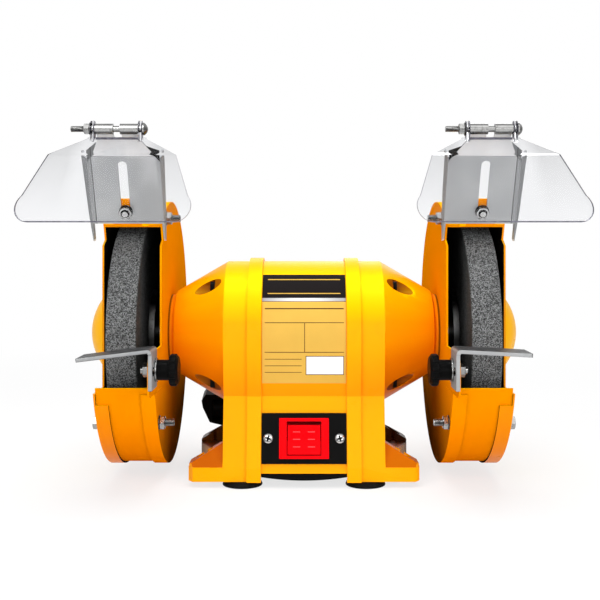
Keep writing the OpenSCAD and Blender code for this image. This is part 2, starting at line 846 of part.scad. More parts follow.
// A bracket seen square to its lower plate, as (X, height up the slope). Its two tongues roll
// into the knuckles and are a little narrower than them.
module bracket_outline() {
    far = bracket_x + bracket_w;
    first = [knuckle_start + tongue_inset, knuckle_start + knuckle_l - tongue_inset];
    second = [knuckle_second + tongue_inset, knuckle_second + knuckle_l - tongue_inset];
    tip = bracket_h + rise - 1;
    neck = bracket_h + rise * 0.6;
    polygon([[bracket_x, 0], [far, 0], [far, bracket_h - 7], [far - 5, bracket_h], [second[1], neck],
        [second[1], tip], [second[0], tip], [second[0], tip - 7], [first[1], tip - 7],
        [first[1], tip], [first[0], tip], [first[0], neck], [bracket_x + 5, bracket_h],
        [bracket_x, bracket_h - 7]]);
}

module flange_outline() {
    polygon([[-bracket_t / 2, bracket_h - 9], [2, bracket_h - 4], [20, bracket_h - 4],
        [25, bracket_h - 9], [15, 2], [5, -19], [0.5, -15], [-bracket_t / 2, 1]]);
}

module slot_outline() {
    circle(slot_r);
    translate([0, slot_l]) circle(slot_r);
    translate([-slot_r, 0]) square([2 * slot_r, slot_l]);
}

module bracket() {
    far = bracket_x + bracket_w;
    mid = -bracket_t / 2;
    top = [mid - upper_l * sin(upper_lean - lean), bracket_h + rise];
    at_shaft() difference() {
        union() {
            on_slope() intersection() {
                slab_x(bracket_x, far) bent_strip([mid, 0], [mid, bracket_h], top, bracket_t);
                translate([0, 10, 0]) rotate([90, 0, 0]) linear_extrude(60) bracket_outline();
            }
            on_slope() slab_x(bracket_x, bracket_x + bracket_t) flange_outline();
            on_slope() translate([far - bracket_t, mid, 0]) rotate([0, 0, -flange_splay])
                translate([0, -mid, 0]) slab_x(0, bracket_t) flange_outline();
            translate([0, -hinge_y, hinge_z]) bar_x(knuckle_start, knuckle_start + knuckle_l, knuckle_r);
            translate([0, -hinge_y, hinge_z]) bar_x(knuckle_second, knuckle_second + knuckle_l,
                knuckle_r);
        }
        translate([0, -hinge_y, hinge_z]) bar_x(bracket_x - 5, far + 5, hinge_r + run_gap);
        clamp_place() rotate([90, 0, 0]) translate([0, 0, -3]) linear_extrude(8) slot_outline();
    }
}

module shield_bracket_right() {
    color("#b4b8bb") bracket();
}

module shield_bracket_left() {
    color("#b4b8bb") left_side() bracket();
}

// Bolt, nut and washers of one hinge; the head is on the right of both hinges
module hinge_bolt() {
    half = ear_x + ear_t;
    at_shaft() translate([x_mid, -hinge_y, hinge_z]) {
        bar_x(-half - 16, half + 0.6, hinge_r);
        rotate([0, 90, 0]) translate([0, 0, half + 0.5]) rotate_extrude($fn = 48)
            polygon([[0, 0], [hinge_head_r, 0], [hinge_head_r, 1.2], [hinge_head_r - 2, 3.4], [0, 4]]);
    }
}

module hinge_nut() {
    half = ear_x + ear_t + 0.5;
    at_shaft() translate([x_mid, -hinge_y, hinge_z]) {
        ring_x(-half - 1.2, -half, 5.4, hinge_r + run_gap);
        hex_x(-half - 5.6, -half - 1.3, 8, hinge_r + run_gap);
    }
}

module hinge_bolt_right() {
    color("#a9acb0") hinge_bolt();
}

module hinge_bolt_left() {
    color("#a9acb0") translate([-2 * x_mid, 0, 0]) hinge_bolt();
}

module hinge_nut_right() {
    color("#b3b6ba") hinge_nut();
}

module hinge_nut_left() {
    color("#b3b6ba") translate([-2 * x_mid, 0, 0]) hinge_nut();
}

// ---- eye shields ----
module shield_ear(x0) {
    bar_x(x0, x0 + ear_t, ear_r);
    slab_x(x0, x0 + ear_t) polygon([[-ear_r * 0.8, -1], [ear_r * 0.8, -1],
        [shield_start_y + 1, shield_start_z - 1.5], [shield_start_y - 8, shield_start_z - 5.5]]);
}

// The shield seen from the front, as (X, Z) from the hinge
module shield_outline(bend_z, end_z) {
    corner = 12;
    half = shield_low_w / 2;
    top = shield_top_w / 2;
    mid = shield_mid_w / 2;
    polygon([[-top, shield_start_z + 3], [top, shield_start_z + 3], [top, shield_start_z],
        [mid, bend_z], [half, end_z + corner], [half - corner, end_z], [corner - half, end_z],
        [-half, end_z + corner], [-mid, bend_z], [-top, shield_start_z]]);
    for (s = [-1, 1]) translate([s * (half - corner), end_z + corner]) circle(corner);
}

module eye_shield() {
    start = [shield_start_y, shield_start_z];
    bend = start - shield_upper_l * [sin(shield_upper_tilt), cos(shield_upper_tilt)];
    end = bend - shield_l * [sin(shield_tilt), cos(shield_tilt)];
    at_shaft() translate([x_mid, -hinge_y, hinge_z]) difference() {
        union() {
            intersection() {
                slab_x(-shield_low_w / 2, shield_low_w / 2) bent_strip(start, bend, end, shield_t);
                translate([0, 20, 0]) rotate([90, 0, 0]) linear_extrude(200)
                    shield_outline(bend[1], end[1]);
            }
            shield_ear(ear_x);
            shield_ear(-ear_x - ear_t);
        }
        bar_x(-60, 60, hinge_r + run_gap);
        bar_x(-ear_x, ear_x, knuckle_r + 1);
    }
}

module eye_shield_right() {
    color("#e8f2f6", 0.35) eye_shield();
}

module eye_shield_left() {
    color("#e8f2f6", 0.35) left_side() eye_shield();
}

// ---- tool rests ----
module at_stud() {
    translate([0, -stud_y, -stud_drop]) children();
}

// The rest's section across the shaft, as (X, Z) from the tab and the stud
module rest_section(droop) {
    centre = [rest_t, stud_drop - rest_top - rest_t];
    along = [cos(droop), -sin(droop)];
    up = [sin(droop), cos(droop)];
    polygon(concat([[0, -tab_low]], arc(centre, rest_t, 180, 90 - droop, 6),
        [centre + rest_t * up + (rest_w - rest_t) * along, centre + (rest_w - rest_t) * along, centre,
        [rest_t, -tab_low]]));
}

module tool_rest(droop) {
    front = -23;
    tab_inset = 3;
    at_shaft() at_stud() difference() {
        translate([tab_x, front + rest_d, 0]) rotate([90, 0, 0]) linear_extrude(rest_d)
            rest_section(droop);
        translate([tab_x - 1, front - 1, -tab_low - 1])
            cube([rest_t + 2, tab_inset + 1, tab_low + stud_drop - rest_top - rest_t]);
        slab_x(tab_x - 1, tab_x + rest_t + 1) {
            circle(stud_r + screw_slack);
            translate([-rest_travel, 0]) circle(stud_r + screw_slack);
            translate([-rest_travel, -stud_r - screw_slack])
                square([rest_travel, 2 * (stud_r + screw_slack)]);
        }
    }
}

module tool_rest_right() {
    color("#9da1a5") tool_rest(rest_droop_right);
}

module tool_rest_left() {
    color("#9da1a5") left_side() tool_rest(rest_droop_left);
}

module rest_washer() {
    at_shaft() at_stud() ring_x(washer_x, washer_x + washer_t, 9.5, stud_r + run_gap);
}

module rest_washer_right() {
    color("#b3b6ba") rest_washer();
}

module rest_washer_left() {
    color("#b3b6ba") left_side() rest_washer();
}

module rest_nuts() {
    color("#b3b6ba") at_shaft() both_ends() at_stud()
        hex_x(x_inner, x_inner + small_nut_t, small_nut_af, stud_r + run_gap);
}

module rest_knob() {
    head = stem_x - stem_l;
    at_shaft() at_stud() difference() {
        union() {
            turned_x([[0, head], [stem_r, head], [stem_r, stem_x], [0, stem_x]]);
            turned_x([[0, head - head_l], [knob_r - 2.5, head - head_l], [knob_r, head - head_l + 2],
                [knob_r, head - 1], [knob_r - 1, head + eps], [0, head + eps]]);
        }
        bar_x(head - 3, stem_x + 1, stud_r);
        for (a = [0:30:330]) {
            rotate([a, 0, 0]) translate([0, knob_r + 0.7, 0]) bar_x(head - head_l - 1, head + 1, 1.5);
        }
    }
}

module rest_stud() {
    head = stem_x - stem_l;
    at_shaft() at_stud() bar_x(head - 3, x_inner + small_nut_t + 2, stud_r);
}

module rest_knob_right() {
    color("#1c1c1c") rest_knob();
}

module rest_knob_left() {
    color("#1c1c1c") left_side() rest_knob();
}

module rest_stud_right() {
    color("#a9acb0") rest_stud();
}

module rest_stud_left() {
    color("#a9acb0") left_side() rest_stud();
}

motor_shell();
end_bell_left();
end_bell_right();
housing_bolts();
bottom_pan();
name_plate();
rubber_feet();
foot_screws();
switch_plate();
switch_screws();
switch_bezel();
switch_rocker();
stator_core();
stator_windings();
bearing_outer_rings();
bearing_inner_rings();
bearing_balls();
capacitor_box();
run_capacitor();
cord_gland();
rotor_shaft();
rotor_core();
wheel_left();
wheel_right();
wheel_flanges();
shaft_nuts();
inner_guard_left();
inner_guard_right();
guard_rim_left();
guard_rim_right();
outer_cover_left();
outer_cover_right();
guard_bolts();
guard_nuts();
guard_screws();
bracket_bolts();
bracket_nuts();
shield_bracket_left();
shield_bracket_right();
hinge_bolt_left();
hinge_bolt_right();
hinge_nut_left();
hinge_nut_right();
eye_shield_left();
eye_shield_right();
tool_rest_left();
tool_rest_right();
rest_washer_left();
rest_washer_right();
rest_nuts();
rest_knob_left();
rest_knob_right();
rest_stud_left();
rest_stud_right();
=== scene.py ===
"""Bench grinder: the finish and fine shapes of every piece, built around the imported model."""
import json
import math

import bmesh
import bpy
from mathutils import Matrix, Vector


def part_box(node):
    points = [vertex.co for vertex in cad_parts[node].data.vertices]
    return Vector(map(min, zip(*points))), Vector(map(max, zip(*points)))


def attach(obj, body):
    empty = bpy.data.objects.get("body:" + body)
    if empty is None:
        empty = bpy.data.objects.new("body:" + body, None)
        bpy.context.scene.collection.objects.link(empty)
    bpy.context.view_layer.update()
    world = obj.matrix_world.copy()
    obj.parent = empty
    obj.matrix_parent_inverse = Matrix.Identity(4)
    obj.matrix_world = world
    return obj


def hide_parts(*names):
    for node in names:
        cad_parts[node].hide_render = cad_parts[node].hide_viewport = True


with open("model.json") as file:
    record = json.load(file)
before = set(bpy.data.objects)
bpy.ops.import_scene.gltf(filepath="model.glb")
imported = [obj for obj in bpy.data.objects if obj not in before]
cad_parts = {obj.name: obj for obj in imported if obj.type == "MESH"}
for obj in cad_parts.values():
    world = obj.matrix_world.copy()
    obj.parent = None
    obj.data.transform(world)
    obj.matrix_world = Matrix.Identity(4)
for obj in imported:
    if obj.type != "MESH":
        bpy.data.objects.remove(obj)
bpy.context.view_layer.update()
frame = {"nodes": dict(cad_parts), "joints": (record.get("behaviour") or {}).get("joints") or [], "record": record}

bl_info = {
    "name": "Bench grinder",
    "version": (1, 0, 0),
    "blender": (4, 5, 0),
    "location": "View3D > Sidebar > Grinder",
    "description": "Builds the housing, wheels, guards, eye shields and small parts of a bench grinder",
    "category": "Add Mesh",
}

MM = 0.001
SIDES = {"left": -1, "right": 1}
NODES = frame["nodes"]
JOINTS = {joint["name"]: joint for joint in frame["joints"]}
SHAFT_Z = JOINTS["rotor_spin"]["pos_m"][2]
FLOOR_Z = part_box("rubber_feet")[0].z

# The places below are in millimetres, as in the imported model.
SCALLOP_CIRCLE = 54.0    # from the shaft to the middle of a casting's bolt hollow
SCALLOP_ANGLE = 50.0
SCALLOP_RADIUS = 6.85
BARREL_RIBS = (36.0, 47.0, 48.0)    # X of the rib's edges
BOSS_X = 113.6           # where a casting's boss begins
GUARD_X = 118.5          # the side of an inner guard that faces the motor
COVER_X = 168.0          # the outer side of a cover
GUARD_RADIUS = 116.0
GUARD_BOLT_CIRCLE = 109.0
GUARD_BOLT_ANGLES = (113.0, 218.0, -10.0)
GUARD_MOUTH = (124.0, 202.0)    # the angles between which an inner guard is cut away
COVER_MOUTH = (124.0, 207.0)
UNIT_X = 147.5           # the middle of a shield, its bracket and its hinge
EAR_X = 20.15            # from there to the outer face of a shield's ear
BRACKET_FOOT = Vector((0.0, -67.45, 216.33))    # where a bracket stands on its guard
BRACKET_LEAN = math.radians(26.0)
BRACKET_UPPER_LEAN = math.radians(50.0)
BRACKET_UP = Vector((0.0, -math.sin(BRACKET_LEAN), math.cos(BRACKET_LEAN)))
BRACKET_OUT = Vector((0.0, -math.cos(BRACKET_LEAN), -math.sin(BRACKET_LEAN)))
BRACKET_HIGH = 61.0      # up the lower plate to its bend
BRACKET_FOLD = 172.2     # X of the fold of a bracket's outer edge
CLAMP_HIGH = 11.0        # from a bracket's foot up to its clamp bolt
SWITCH_PLACE = (0.0, -63.543, 35.5)    # the middle of the switch's panel
SWITCH_LEAN = math.radians(10.74)
BENCH_HOLE = (84.0, 52.0)    # X and Y of the bench bolt in a foot


# ---------------------------------------------------------------- settings

def length(name, default, words):
    """A size in metres that a user may change."""
    return bpy.props.FloatProperty(name=name, default=default, description=words, unit="LENGTH")


def paint(name, default, words):
    """A colour that a user may change."""
    return bpy.props.FloatVectorProperty(name=name, default=default, description=words,
                                         subtype="COLOR", size=3, min=0.0, max=1.0)


class GrinderSizes(bpy.types.PropertyGroup):
    cast_round: length("Casting edge", 1.5 * MM, "Radius on the edges of the castings")
    sheet_round: length("Sheet edge", 0.35 * MM, "Radius on the edges of sheet metal")
    moulded_round: length("Moulded edge", 0.6 * MM, "Radius on the edges of moulded plastic")
    hardware_round: length("Hardware edge", 0.25 * MM, "Radius on the edges of nuts and bolts")
    grit: length("Grit", 1.0 * MM, "Size of the grains of the wheels")
    camera_back: length("Camera distance", 0.925, "Distance of the camera from the shaft")
    camera_over: length("Camera height", 0.082, "Height of the camera over the shaft")
    lens: bpy.props.FloatProperty(name="Lens", default=61.6, description="Focal length in mm",
                                  min=10.0, max=200.0)


class GrinderColours(bpy.types.PropertyGroup):
    housing: paint("Housing", (1.0, 0.42, 0.0), "Enamel of the motor housing")
    guard: paint("Guards", (0.97, 0.33, 0.0), "Enamel of the wheel guards")
    zinc: paint("Zinc", (0.62, 0.62, 0.61), "Plated bolts and nuts")
    sheet: paint("Galvanised sheet", (0.88, 0.90, 0.92), "Brackets and tool rests")
    stone: paint("Wheel", (0.11, 0.112, 0.11), "Body of the grinding wheels")
    black: paint("Black plastic", (0.004, 0.004, 0.004), "Switch plate, knobs and box")
    red: paint("Switch red", (0.86, 0.001, 0.004), "Bezel and rocker")
    # The groove colour is painted shade for the recess round the rocker.
    groove: paint("Switch groove", (0.16, 0.0, 0.001), "Groove round the rocker")
    # The rocker marks' colour is a paler red, painted highlight on the rocker's ridges.
    marks: paint("Rocker marks", (0.9, 0.1, 0.11), "Ridges on the rocker")
    foil: paint("Name plate", (0.68, 0.41, 0.07), "Field of the name plate")
    clear: paint("Eye shield", (0.925, 0.93, 0.945), "Tint of the clear sheet")


def sizes():
    return bpy.context.scene.grinder_sizes


def colours():
    return bpy.context.scene.grinder_colours


# ---------------------------------------------------------------- finishes

def math_node(operation, swapped=False):
    """A method that puts a wire, and what it is reckoned with, through a Math node."""
    def method(self, *others):
        values = (*others, self) if swapped else (self, *others)
        return self.nodes.node("ShaderNodeMath", {"operation": operation}, dict(enumerate(values)))
    return method


class Wire:
    """One value in a node tree. Arithmetic on it adds Math nodes."""

    def __init__(self, nodes, socket):
        self.nodes = nodes
        self.socket = socket

    __add__, __radd__ = math_node("ADD"), math_node("ADD", True)
    __sub__, __rsub__ = math_node("SUBTRACT"), math_node("SUBTRACT", True)
    __mul__, __rmul__ = math_node("MULTIPLY"), math_node("MULTIPLY", True)
    __gt__, __lt__ = math_node("GREATER_THAN"), math_node("LESS_THAN")
    __abs__, sign = math_node("ABSOLUTE"), math_node("SIGN")
    at_least, at_most = math_node("MAXIMUM"), math_node("MINIMUM")

    def clamped(self):
        return self.at_least(0.0).at_most(1.0)


class Nodes:
    """A node tree, with one method for every kind of node."""

    def __init__(self, tree):
        self.tree = tree

    def node(self, kind, settings=None, inputs=None, output=0):
        """Adds a node, sets it up, joins its inputs, and returns one of its outputs."""
        made = self.tree.nodes.new(kind)
        for key, value in (settings or {}).items():
            if key == "stops":
                self.set_stops(made.color_ramp, value)
            else:
                setattr(made, key, value)
        for key, value in (inputs or {}).items():
            self.join(made.inputs[key], value)
        return Wire(self, made.outputs[output])

    def set_stops(self, ramp, stops):
        while len(ramp.elements) < len(stops):
            ramp.elements.new(0.5)
        for element, (position, colour) in zip(ramp.elements, stops):
            element.position = position
            element.color = (*colour, 1.0)

    def join(self, socket, value):
        if isinstance(value, Wire):
            self.tree.links.new(value.socket, socket)
        elif socket.type == "RGBA":
            socket.default_value = (*value, 1.0)
        else:
            socket.default_value = value

    def seen(self):
        """1 for what the camera sees directly, in a gloss or through the clear sheet, else 0."""
        rays = (self.node("ShaderNodeLightPath", output=f"Is {kind} Ray")
                for kind in ("Camera", "Glossy", "Transmission"))
        return sum(rays, 0.0).clamped()


class Finish(Nodes):
    """A procedural material."""

    def __init__(self, name):
        self.material = bpy.data.materials.new(name)
        self.material.use_nodes = True
        super().__init__(self.material.node_tree)
        self.shader = self.tree.nodes["Principled BSDF"]
        self.places = None

    def set(self, **values):
        """Sets or joins sockets of the main shader, named with _ for a space."""
        for key, value in values.items():
            self.join(self.shader.inputs[key.replace("_", " ")], value)

    def place(self):
        """Position on the piece, in metres of the shared frame."""
        if self.places is None:
            self.places = self.node("ShaderNodeTexCoord", output="Object")
        return self.places

    def stretched(self, scale):
        """Position with each axis scaled by its own factor."""
        return self.node("ShaderNodeMapping", inputs={"Vector": self.place(), "Scale": scale},
                         output="Vector")

    def noise(self, size, detail=2.0, rough=0.5, warp=0.0, place=None):
        """Cloudy noise from 0 to 1, with features about size metres across."""
        inputs = {"Vector": place or self.place(), "Scale": 1.0 / size, "Detail": detail,
                  "Roughness": rough, "Distortion": warp}
        return self.node("ShaderNodeTexNoise", inputs=inputs)

    def cells(self, size, output="Distance"):
        """Cells about size metres across."""
        return self.node("ShaderNodeTexVoronoi", inputs={"Vector": self.place(),
                                                         "Scale": 1.0 / size}, output=output)

    def grains(self, size, channel):
        """One random value from 0 to 1 for each cell."""
        colour = self.cells(size, "Color")
        return self.node("ShaderNodeSeparateColor", inputs={0: colour}, output=channel)

    def along(self, axis):
        """One coordinate of the position."""
        return self.node("ShaderNodeSeparateXYZ", inputs={0: self.place()}, output=axis)

    def facing(self, axis):
        """One coordinate of the surface's direction, from -1 to 1."""
        normal = self.node("ShaderNodeNewGeometry", output="Normal")
        return self.node("ShaderNodeSeparateXYZ", inputs={0: normal}, output=axis)

    def sideways(self, low=0.5, high=0.9, most=1.0):
        """How far the surface faces either end of the machine, from 0 to most."""
        return self.spread(abs(self.facing("X")), low, high, 0.0, most)

    def outward(self):
        """How far the surface faces the machine's nearer end, from -1 to 1."""
        return self.facing("X") * self.along("X").sign()

    def grey(self, value, *stops):
        """A ramp of greys over a value from -1 to 1."""
        return self.ramp(value * 0.5 + 0.5, *((place * 0.5 + 0.5, (tone, tone, tone))
                                              for place, tone in stops))

    def ramp(self, value, *stops):
        return self.node("ShaderNodeValToRGB", {"stops": stops}, {"Fac": value}, "Color")

    def spread(self, value, low, high, out_low, out_high):
        """Maps low..high onto out_low..out_high."""
        return self.node("ShaderNodeMapRange", inputs={0: value, 1: low, 2: high, 3: out_low,
                                                       4: out_high})

    def blend(self, share, first, second, mode="MIX"):
        """Mixes two colours."""
        return self.node("ShaderNodeMix", {"data_type": "RGBA", "blend_type": mode},
                         {0: share, 6: first, 7: second}, 2)

    def relief(self, height, depth, strength):
        """Bumps the surface by height times depth metres."""
        bump = self.node("ShaderNodeBump", inputs={"Height": height, "Distance": depth,
                                                   "Strength": strength}, output="Normal")
        self.set(Normal=bump)


def shade(colour, factor, green=None):
    """A colour made brighter or darker, with its green scaled by its own factor if given."""
    factors = (factor, factor if green is None else green, factor)
    return tuple(min(1.0, channel * share) for channel, share in zip(colour, factors))


FINISHES = {}


def finish(maker):
    """Turns a function that sets up a finish into one that gives its material by name, made
    once for the same values."""
    def material(name, *values):
        key = (maker.__name__, name, *values)
        if key not in FINISHES:
            made = Finish(name)
            maker(made, *values)
            FINISHES[key] = made.material
        return FINISHES[key]
    return material


def sprayed(made, tone, gloss):
    """Enamel over a colour: a faint orange peel, slightly uneven gloss and a little dust."""
    cloud = made.noise(0.06, 3.0)
    dust = made.spread(made.noise(0.014, 6.0, 0.7), 0.6, 0.8, 0.0, 0.14)
    tone = made.blend(made.spread(cloud, 0.35, 0.65, 0.0, 0.1), tone, (0.88, 0.36, 0.0))
    made.set(Base_Color=made.blend(dust, tone, (0.55, 0.2, 0.01)),
             Roughness=made.spread(made.noise(0.02, 4.0), 0.3, 0.7, 0.26, 0.38),
             Specular_IOR_Level=gloss)
    made.relief(made.noise(0.0024, 2.0), 0.00005, 0.3)


@finish
def housing_enamel(made):
    """The castings' enamel, with light and shade painted in: paler yellow above with a painted highlight band,
    painted deep orange shade on the cones, the boss and under the barrel, painted brown shade in the hollows
    and on the feet, and a painted dark shadow at the seam against the guards."""
    base = tuple(colours().housing)
    up, out = made.facing("Z"), made.outward()
    end, y, z = abs(made.along("X")), made.along("Y"), made.along("Z")
    # Painted light and shade: by how far the surface faces up, the enamel is painted deeper orange below, yellow
    # at the front and a paler yellow highlight band where it faces partly up.
    tone = made.ramp(up * 0.5 + 0.5, (0.1, shade(base, 0.8, 0.5)), (0.35, shade(base, 1.0, 0.62)),
                     (0.48, shade(base, 1.0, 0.95)), (0.6, shade(base, 1.0, 0.92)),
                     (0.76, shade(base, 1.0, 1.35)), (0.86, shade(base, 1.0, 1.75)),
                     (0.95, shade(base, 1.0, 1.2)))
    deep_orange = shade(base, 0.82, 0.52)
    foot_top, foot_root = 0.04, 0.0682
    # Painted shade: faces turned towards the machine's nearer end, such as the cones, are painted deep orange.
    tone = made.blend(made.spread(out, 0.25, 0.6, 0.0, 0.85) * (z > foot_top), tone, deep_orange)
    foot = (z < foot_top) * (end > foot_root)
    # Painted shade: up-facing surfaces of the feet are painted brownish orange.
    tone = made.blend(foot * made.spread(up, 0.25, 0.5, 0.0, 1.0), tone, (0.5, 0.1, 0.0))
    # Painted shadow: front-facing walls of the back feet are painted dark brown.
    painted_foot_shadow = foot * made.spread(y, 0.02, 0.04, 0.0, 1.0)
    painted_foot_shadow = painted_foot_shadow * made.spread(made.facing("Y"), 0.1, 0.3, 1.0, 0.0)
    tone = made.blend(painted_foot_shadow, tone, (0.05, 0.009, 0.002))
    # Painted shade in the castings' bolt hollows: dark brown within each hollow's radius.
    hollow = 0.0
    for angle in (SCALLOP_ANGLE, 180 - SCALLOP_ANGLE, 180 + SCALLOP_ANGLE, -SCALLOP_ANGLE):
        turn = math.radians(angle)
        across = y - SCALLOP_CIRCLE * MM * math.cos(turn)
        rise = z - (SHAFT_Z + SCALLOP_CIRCLE * MM * math.sin(turn))
        near = across * across + rise * rise < (SCALLOP_RADIUS * MM) ** 2
        hollow = near + hollow
    hollow = hollow.clamped() * made.spread(end, 0.077, 0.095, 1.0, 0.8)
    tone = made.blend(hollow, tone, (0.2, 0.045, 0.0))
    # Painted shade: the boss beyond BOSS_X is painted deep orange like the cones.
    tone = made.blend(end > BOSS_X * MM, tone, deep_orange)
    # Painted shadow: a dark band on the boss next to the guard.
    seam = made.spread(end, (BOSS_X + 3.0) * MM, (BOSS_X + 3.8) * MM, 0.0, 0.9)
    tone = made.blend(seam, tone, (0.06, 0.014, 0.0))
    sprayed(made, tone, 0.05)


@finish
def guard_enamel(made, gloss):
    """The guards' enamel, with light and shade painted in: paler where it faces up or outward, deeper orange
    where it faces down, and painted brown shade low down on the side next to the housing.
    """
    base = tuple(colours().guard)
    up, out = made.facing("Z"), made.outward()
    # Painted light and shade: paler where the surface faces up, deeper orange where it faces down.
    tone = made.ramp(up * 0.5 + 0.5, (0.15, shade(base, 0.9, 0.72)), (0.42, shade(base, 0.97, 0.9)),
                     (0.6, base), (0.85, shade(base, 1.0, 1.45)))
    # Painted light: faces turned outward, such as the covers, are painted paler yellow.
    tone = made.blend(made.spread(out, 0.05, 0.6, 0.0, 0.9), tone, shade(base, 1.0, 1.5))
    # Painted shade: faces towards the housing are painted brown, more so lower down and further back.
    drop = ((SHAFT_Z + 0.01) - made.along("Z")) * 9.0 + made.along("Y") * 3.5
    brown = made.spread(out, -0.3, -0.95, 0.0, 1.0) * made.spread(drop, 0.0, 1.0, 0.12, 0.97)
    sprayed(made, made.blend(brown, tone, (0.055, 0.017, 0.002)), gloss)


@finish
def guard_inside(made):
    """The inside of a guard, black as painted shade, with speckles of grinding dust."""
    dust = made.noise(0.009, 6.0, 0.7)
    made.set(Base_Color=made.ramp(dust, (0.35, (0.004, 0.0035, 0.003)), (0.8, (0.018, 0.013, 0.009))),
             Roughness=made.spread(dust, 0.3, 0.7, 0.75, 0.95), Specular_IOR_Level=0.0)
    made.relief(dust, 0.0002, 0.5)


@finish
def zinc(made, tone, rough):
    """Bright zinc plating: fine turning marks and darker stains, with painted reflections of dark and bright
    bands by how far the surface faces up, and painted shade on faces towards either end of the machine.
    """
    base = shade(tuple(colours().zinc), tone)
    stain = made.noise(0.0045, 5.0, 0.65)
    marks = made.noise(0.0006, 3.0, 0.6)
    grime = made.spread(made.noise(0.003, 4.0), 0.55, 0.72, 0.0, 0.6)
    # Painted reflection: bright and dark bands by how far the surface faces up.
    sides = made.grey(made.facing("Z"), (-1.0, 0.5), (-0.72, 0.14), (-0.44, 0.75), (-0.3, 0.7),
                      (-0.12, 0.25), (0.1, 0.5), (0.3, 1.0), (0.5, 1.0), (0.72, 0.15), (0.92, 0.66))
    # Painted shade: faces towards either end of the machine are painted nearly black.
    end_facing_shade = made.sideways(0.25, 0.65, 0.75)
    bright = made.blend(stain, shade(base, 0.75), shade(base, 1.35))
    bright = made.blend(1.0, bright, sides, "MULTIPLY")
    bright = made.blend(end_facing_shade, bright, shade(base, 0.08))
    made.set(Base_Color=made.blend(grime, bright, (0.05, 0.046, 0.042)), Metallic=1.0,
             Roughness=made.spread(marks, 0.3, 0.7, rough - 0.06, rough + 0.08))
    made.relief(marks, 0.00004, 0.4)


def bracket_folds(made, mixed, base):
    """Darkens a bracket's bend, the fold of its outer edge and the strip beyond, as painted shade."""
    end = abs(made.along("X"))
    high = ((made.along("Z") - BRACKET_FOOT.z * MM) * math.cos(BRACKET_LEAN)
            - (made.along("Y") - BRACKET_FOOT.y * MM) * math.sin(BRACKET_LEAN))
    bend = (high > (BRACKET_HIGH - 0.9) * MM) * (high < (BRACKET_HIGH - 0.1) * MM)
    fold = (end > BRACKET_FOLD * MM) * (end < (BRACKET_FOLD + 0.7) * MM)
    mixed = made.blend(bend * 0.75, mixed, shade(base, 0.12))
    mixed = made.blend((end > (BRACKET_FOLD + 0.6) * MM) * 0.45, mixed, shade(base, 0.25))
    return made.blend(fold * 0.9, mixed, shade(base, 0.08))


@finish
def galvanised(made, stops, gloss):
    """Galvanised sheet: soft grey with large faint spangles, clouds and a few scuffs. The
    stops give its painted light and shade by how far the surface faces up, and the faces
    towards either end of the machine get painted shade."""
    base = tuple(colours().sheet)
    patch = made.grains(0.009, 0)
    cloud = made.noise(0.04, 4.0, 0.6, 0.6)
    scuffs = made.noise(0.004, 6.0, 0.7, 1.2, made.stretched((1.0, 1.0, 0.2)))
    marks = made.spread(scuffs, 0.62, 0.75, 0.0, 0.35)
    mixed = made.blend(made.spread(cloud, 0.3, 0.7, 0.0, 1.0), shade(base, 0.86), shade(base, 1.12))
    mixed = made.blend(patch * 0.12, mixed, shade(base, 1.3))
    mixed = made.blend(marks, mixed, shade(base, 0.6))
    # Painted light and shade: the tone is multiplied by a grey ramp of how far the surface faces up.
    up = made.facing("Z")
    mixed = made.blend(1.0, mixed, made.grey(up, *stops), "MULTIPLY")
    # Painted shade: faces towards either end of the machine are painted darker.
    side = made.sideways()
    mixed = made.blend(side, mixed, shade(base, 0.3))
    mixed = bracket_folds(made, mixed, base)
    shine = made.spread(up, 0.4, 0.8, 0.85, 0.0) * made.spread(up, -0.75, -0.5, 0.1, 1.0)
    shine = shine * (1 - side)
    made.set(Base_Color=mixed, Metallic=shine,
             Roughness=made.spread(scuffs, 0.3, 0.75, gloss, gloss + 0.16),
             Specular_IOR_Level=0.02)
    made.relief(scuffs, 0.00005, 0.4)


@finish
def abrasive(made):
    """Vitrified grit: dark grains with pale specks and darker specks, and an open, rough surface. The
    sides of a wheel are painted darker as shade.
    """
    base = tuple(colours().stone)
    grit = sizes().grit
    grain, fine = made.grains(grit, 0), made.grains(grit * 0.7, 1)
    worn = made.spread(made.noise(0.04, 4.0), 0.35, 0.65, 0.6, 1.0)
    side = made.sideways()
    body = made.blend(grain, shade(base, 0.25), shade(base, 1.9))
    specks = made.spread(fine, 0.68, 0.95, 0.0, 1.0) * worn
    body = made.blend(specks, body, (0.29, 0.295, 0.3))
    dark_specks = made.spread(fine, 0.1, 0.34, 1.0, 0.0)
    body = made.blend(dark_specks, body, (0.03, 0.03, 0.03))
    # Painted shade: the sides of a wheel are painted darker.
    body = made.blend(side * 0.9, body, made.blend(grain, shade(base, 0.12), shade(base, 0.6)))
    made.set(Base_Color=body, Roughness=made.spread(grain, 0.0, 1.0, 0.75, 0.95),
             Specular_IOR_Level=0.12)
    made.relief(made.cells(grit) * 0.7 + made.noise(grit * 0.6, 3.0) * 0.5, 0.0006, 0.6)


@finish
def moulded(made, which, rough, grain):
    """Moulded plastic in one of the colours, with a fine spark-eroded texture."""
    base = tuple(getattr(colours(), which))
    texture = made.noise(0.0006, 3.0, 0.6)
    cloud = made.noise(0.02, 3.0)
    made.set(Base_Color=made.blend(cloud, shade(base, 0.8), shade(base, 1.25)),
             Roughness=made.spread(texture, 0.3, 0.7, rough - 0.05, rough + 0.08),
             Specular_IOR_Level=0.02)
    made.relief(texture, grain, 0.5)


@finish
def rubber(made):
    """Black rubber with a dusty bloom."""
    bloom = made.noise(0.008, 5.0, 0.65)
    made.set(Base_Color=made.ramp(bloom, (0.3, (0.004, 0.004, 0.004)), (0.75, (0.012, 0.011, 0.01))),
             Roughness=made.spread(bloom, 0.3, 0.7, 0.42, 0.66), Specular_IOR_Level=0.02)
    made.relief(made.noise(0.0011, 4.0), 0.00012, 0.5)


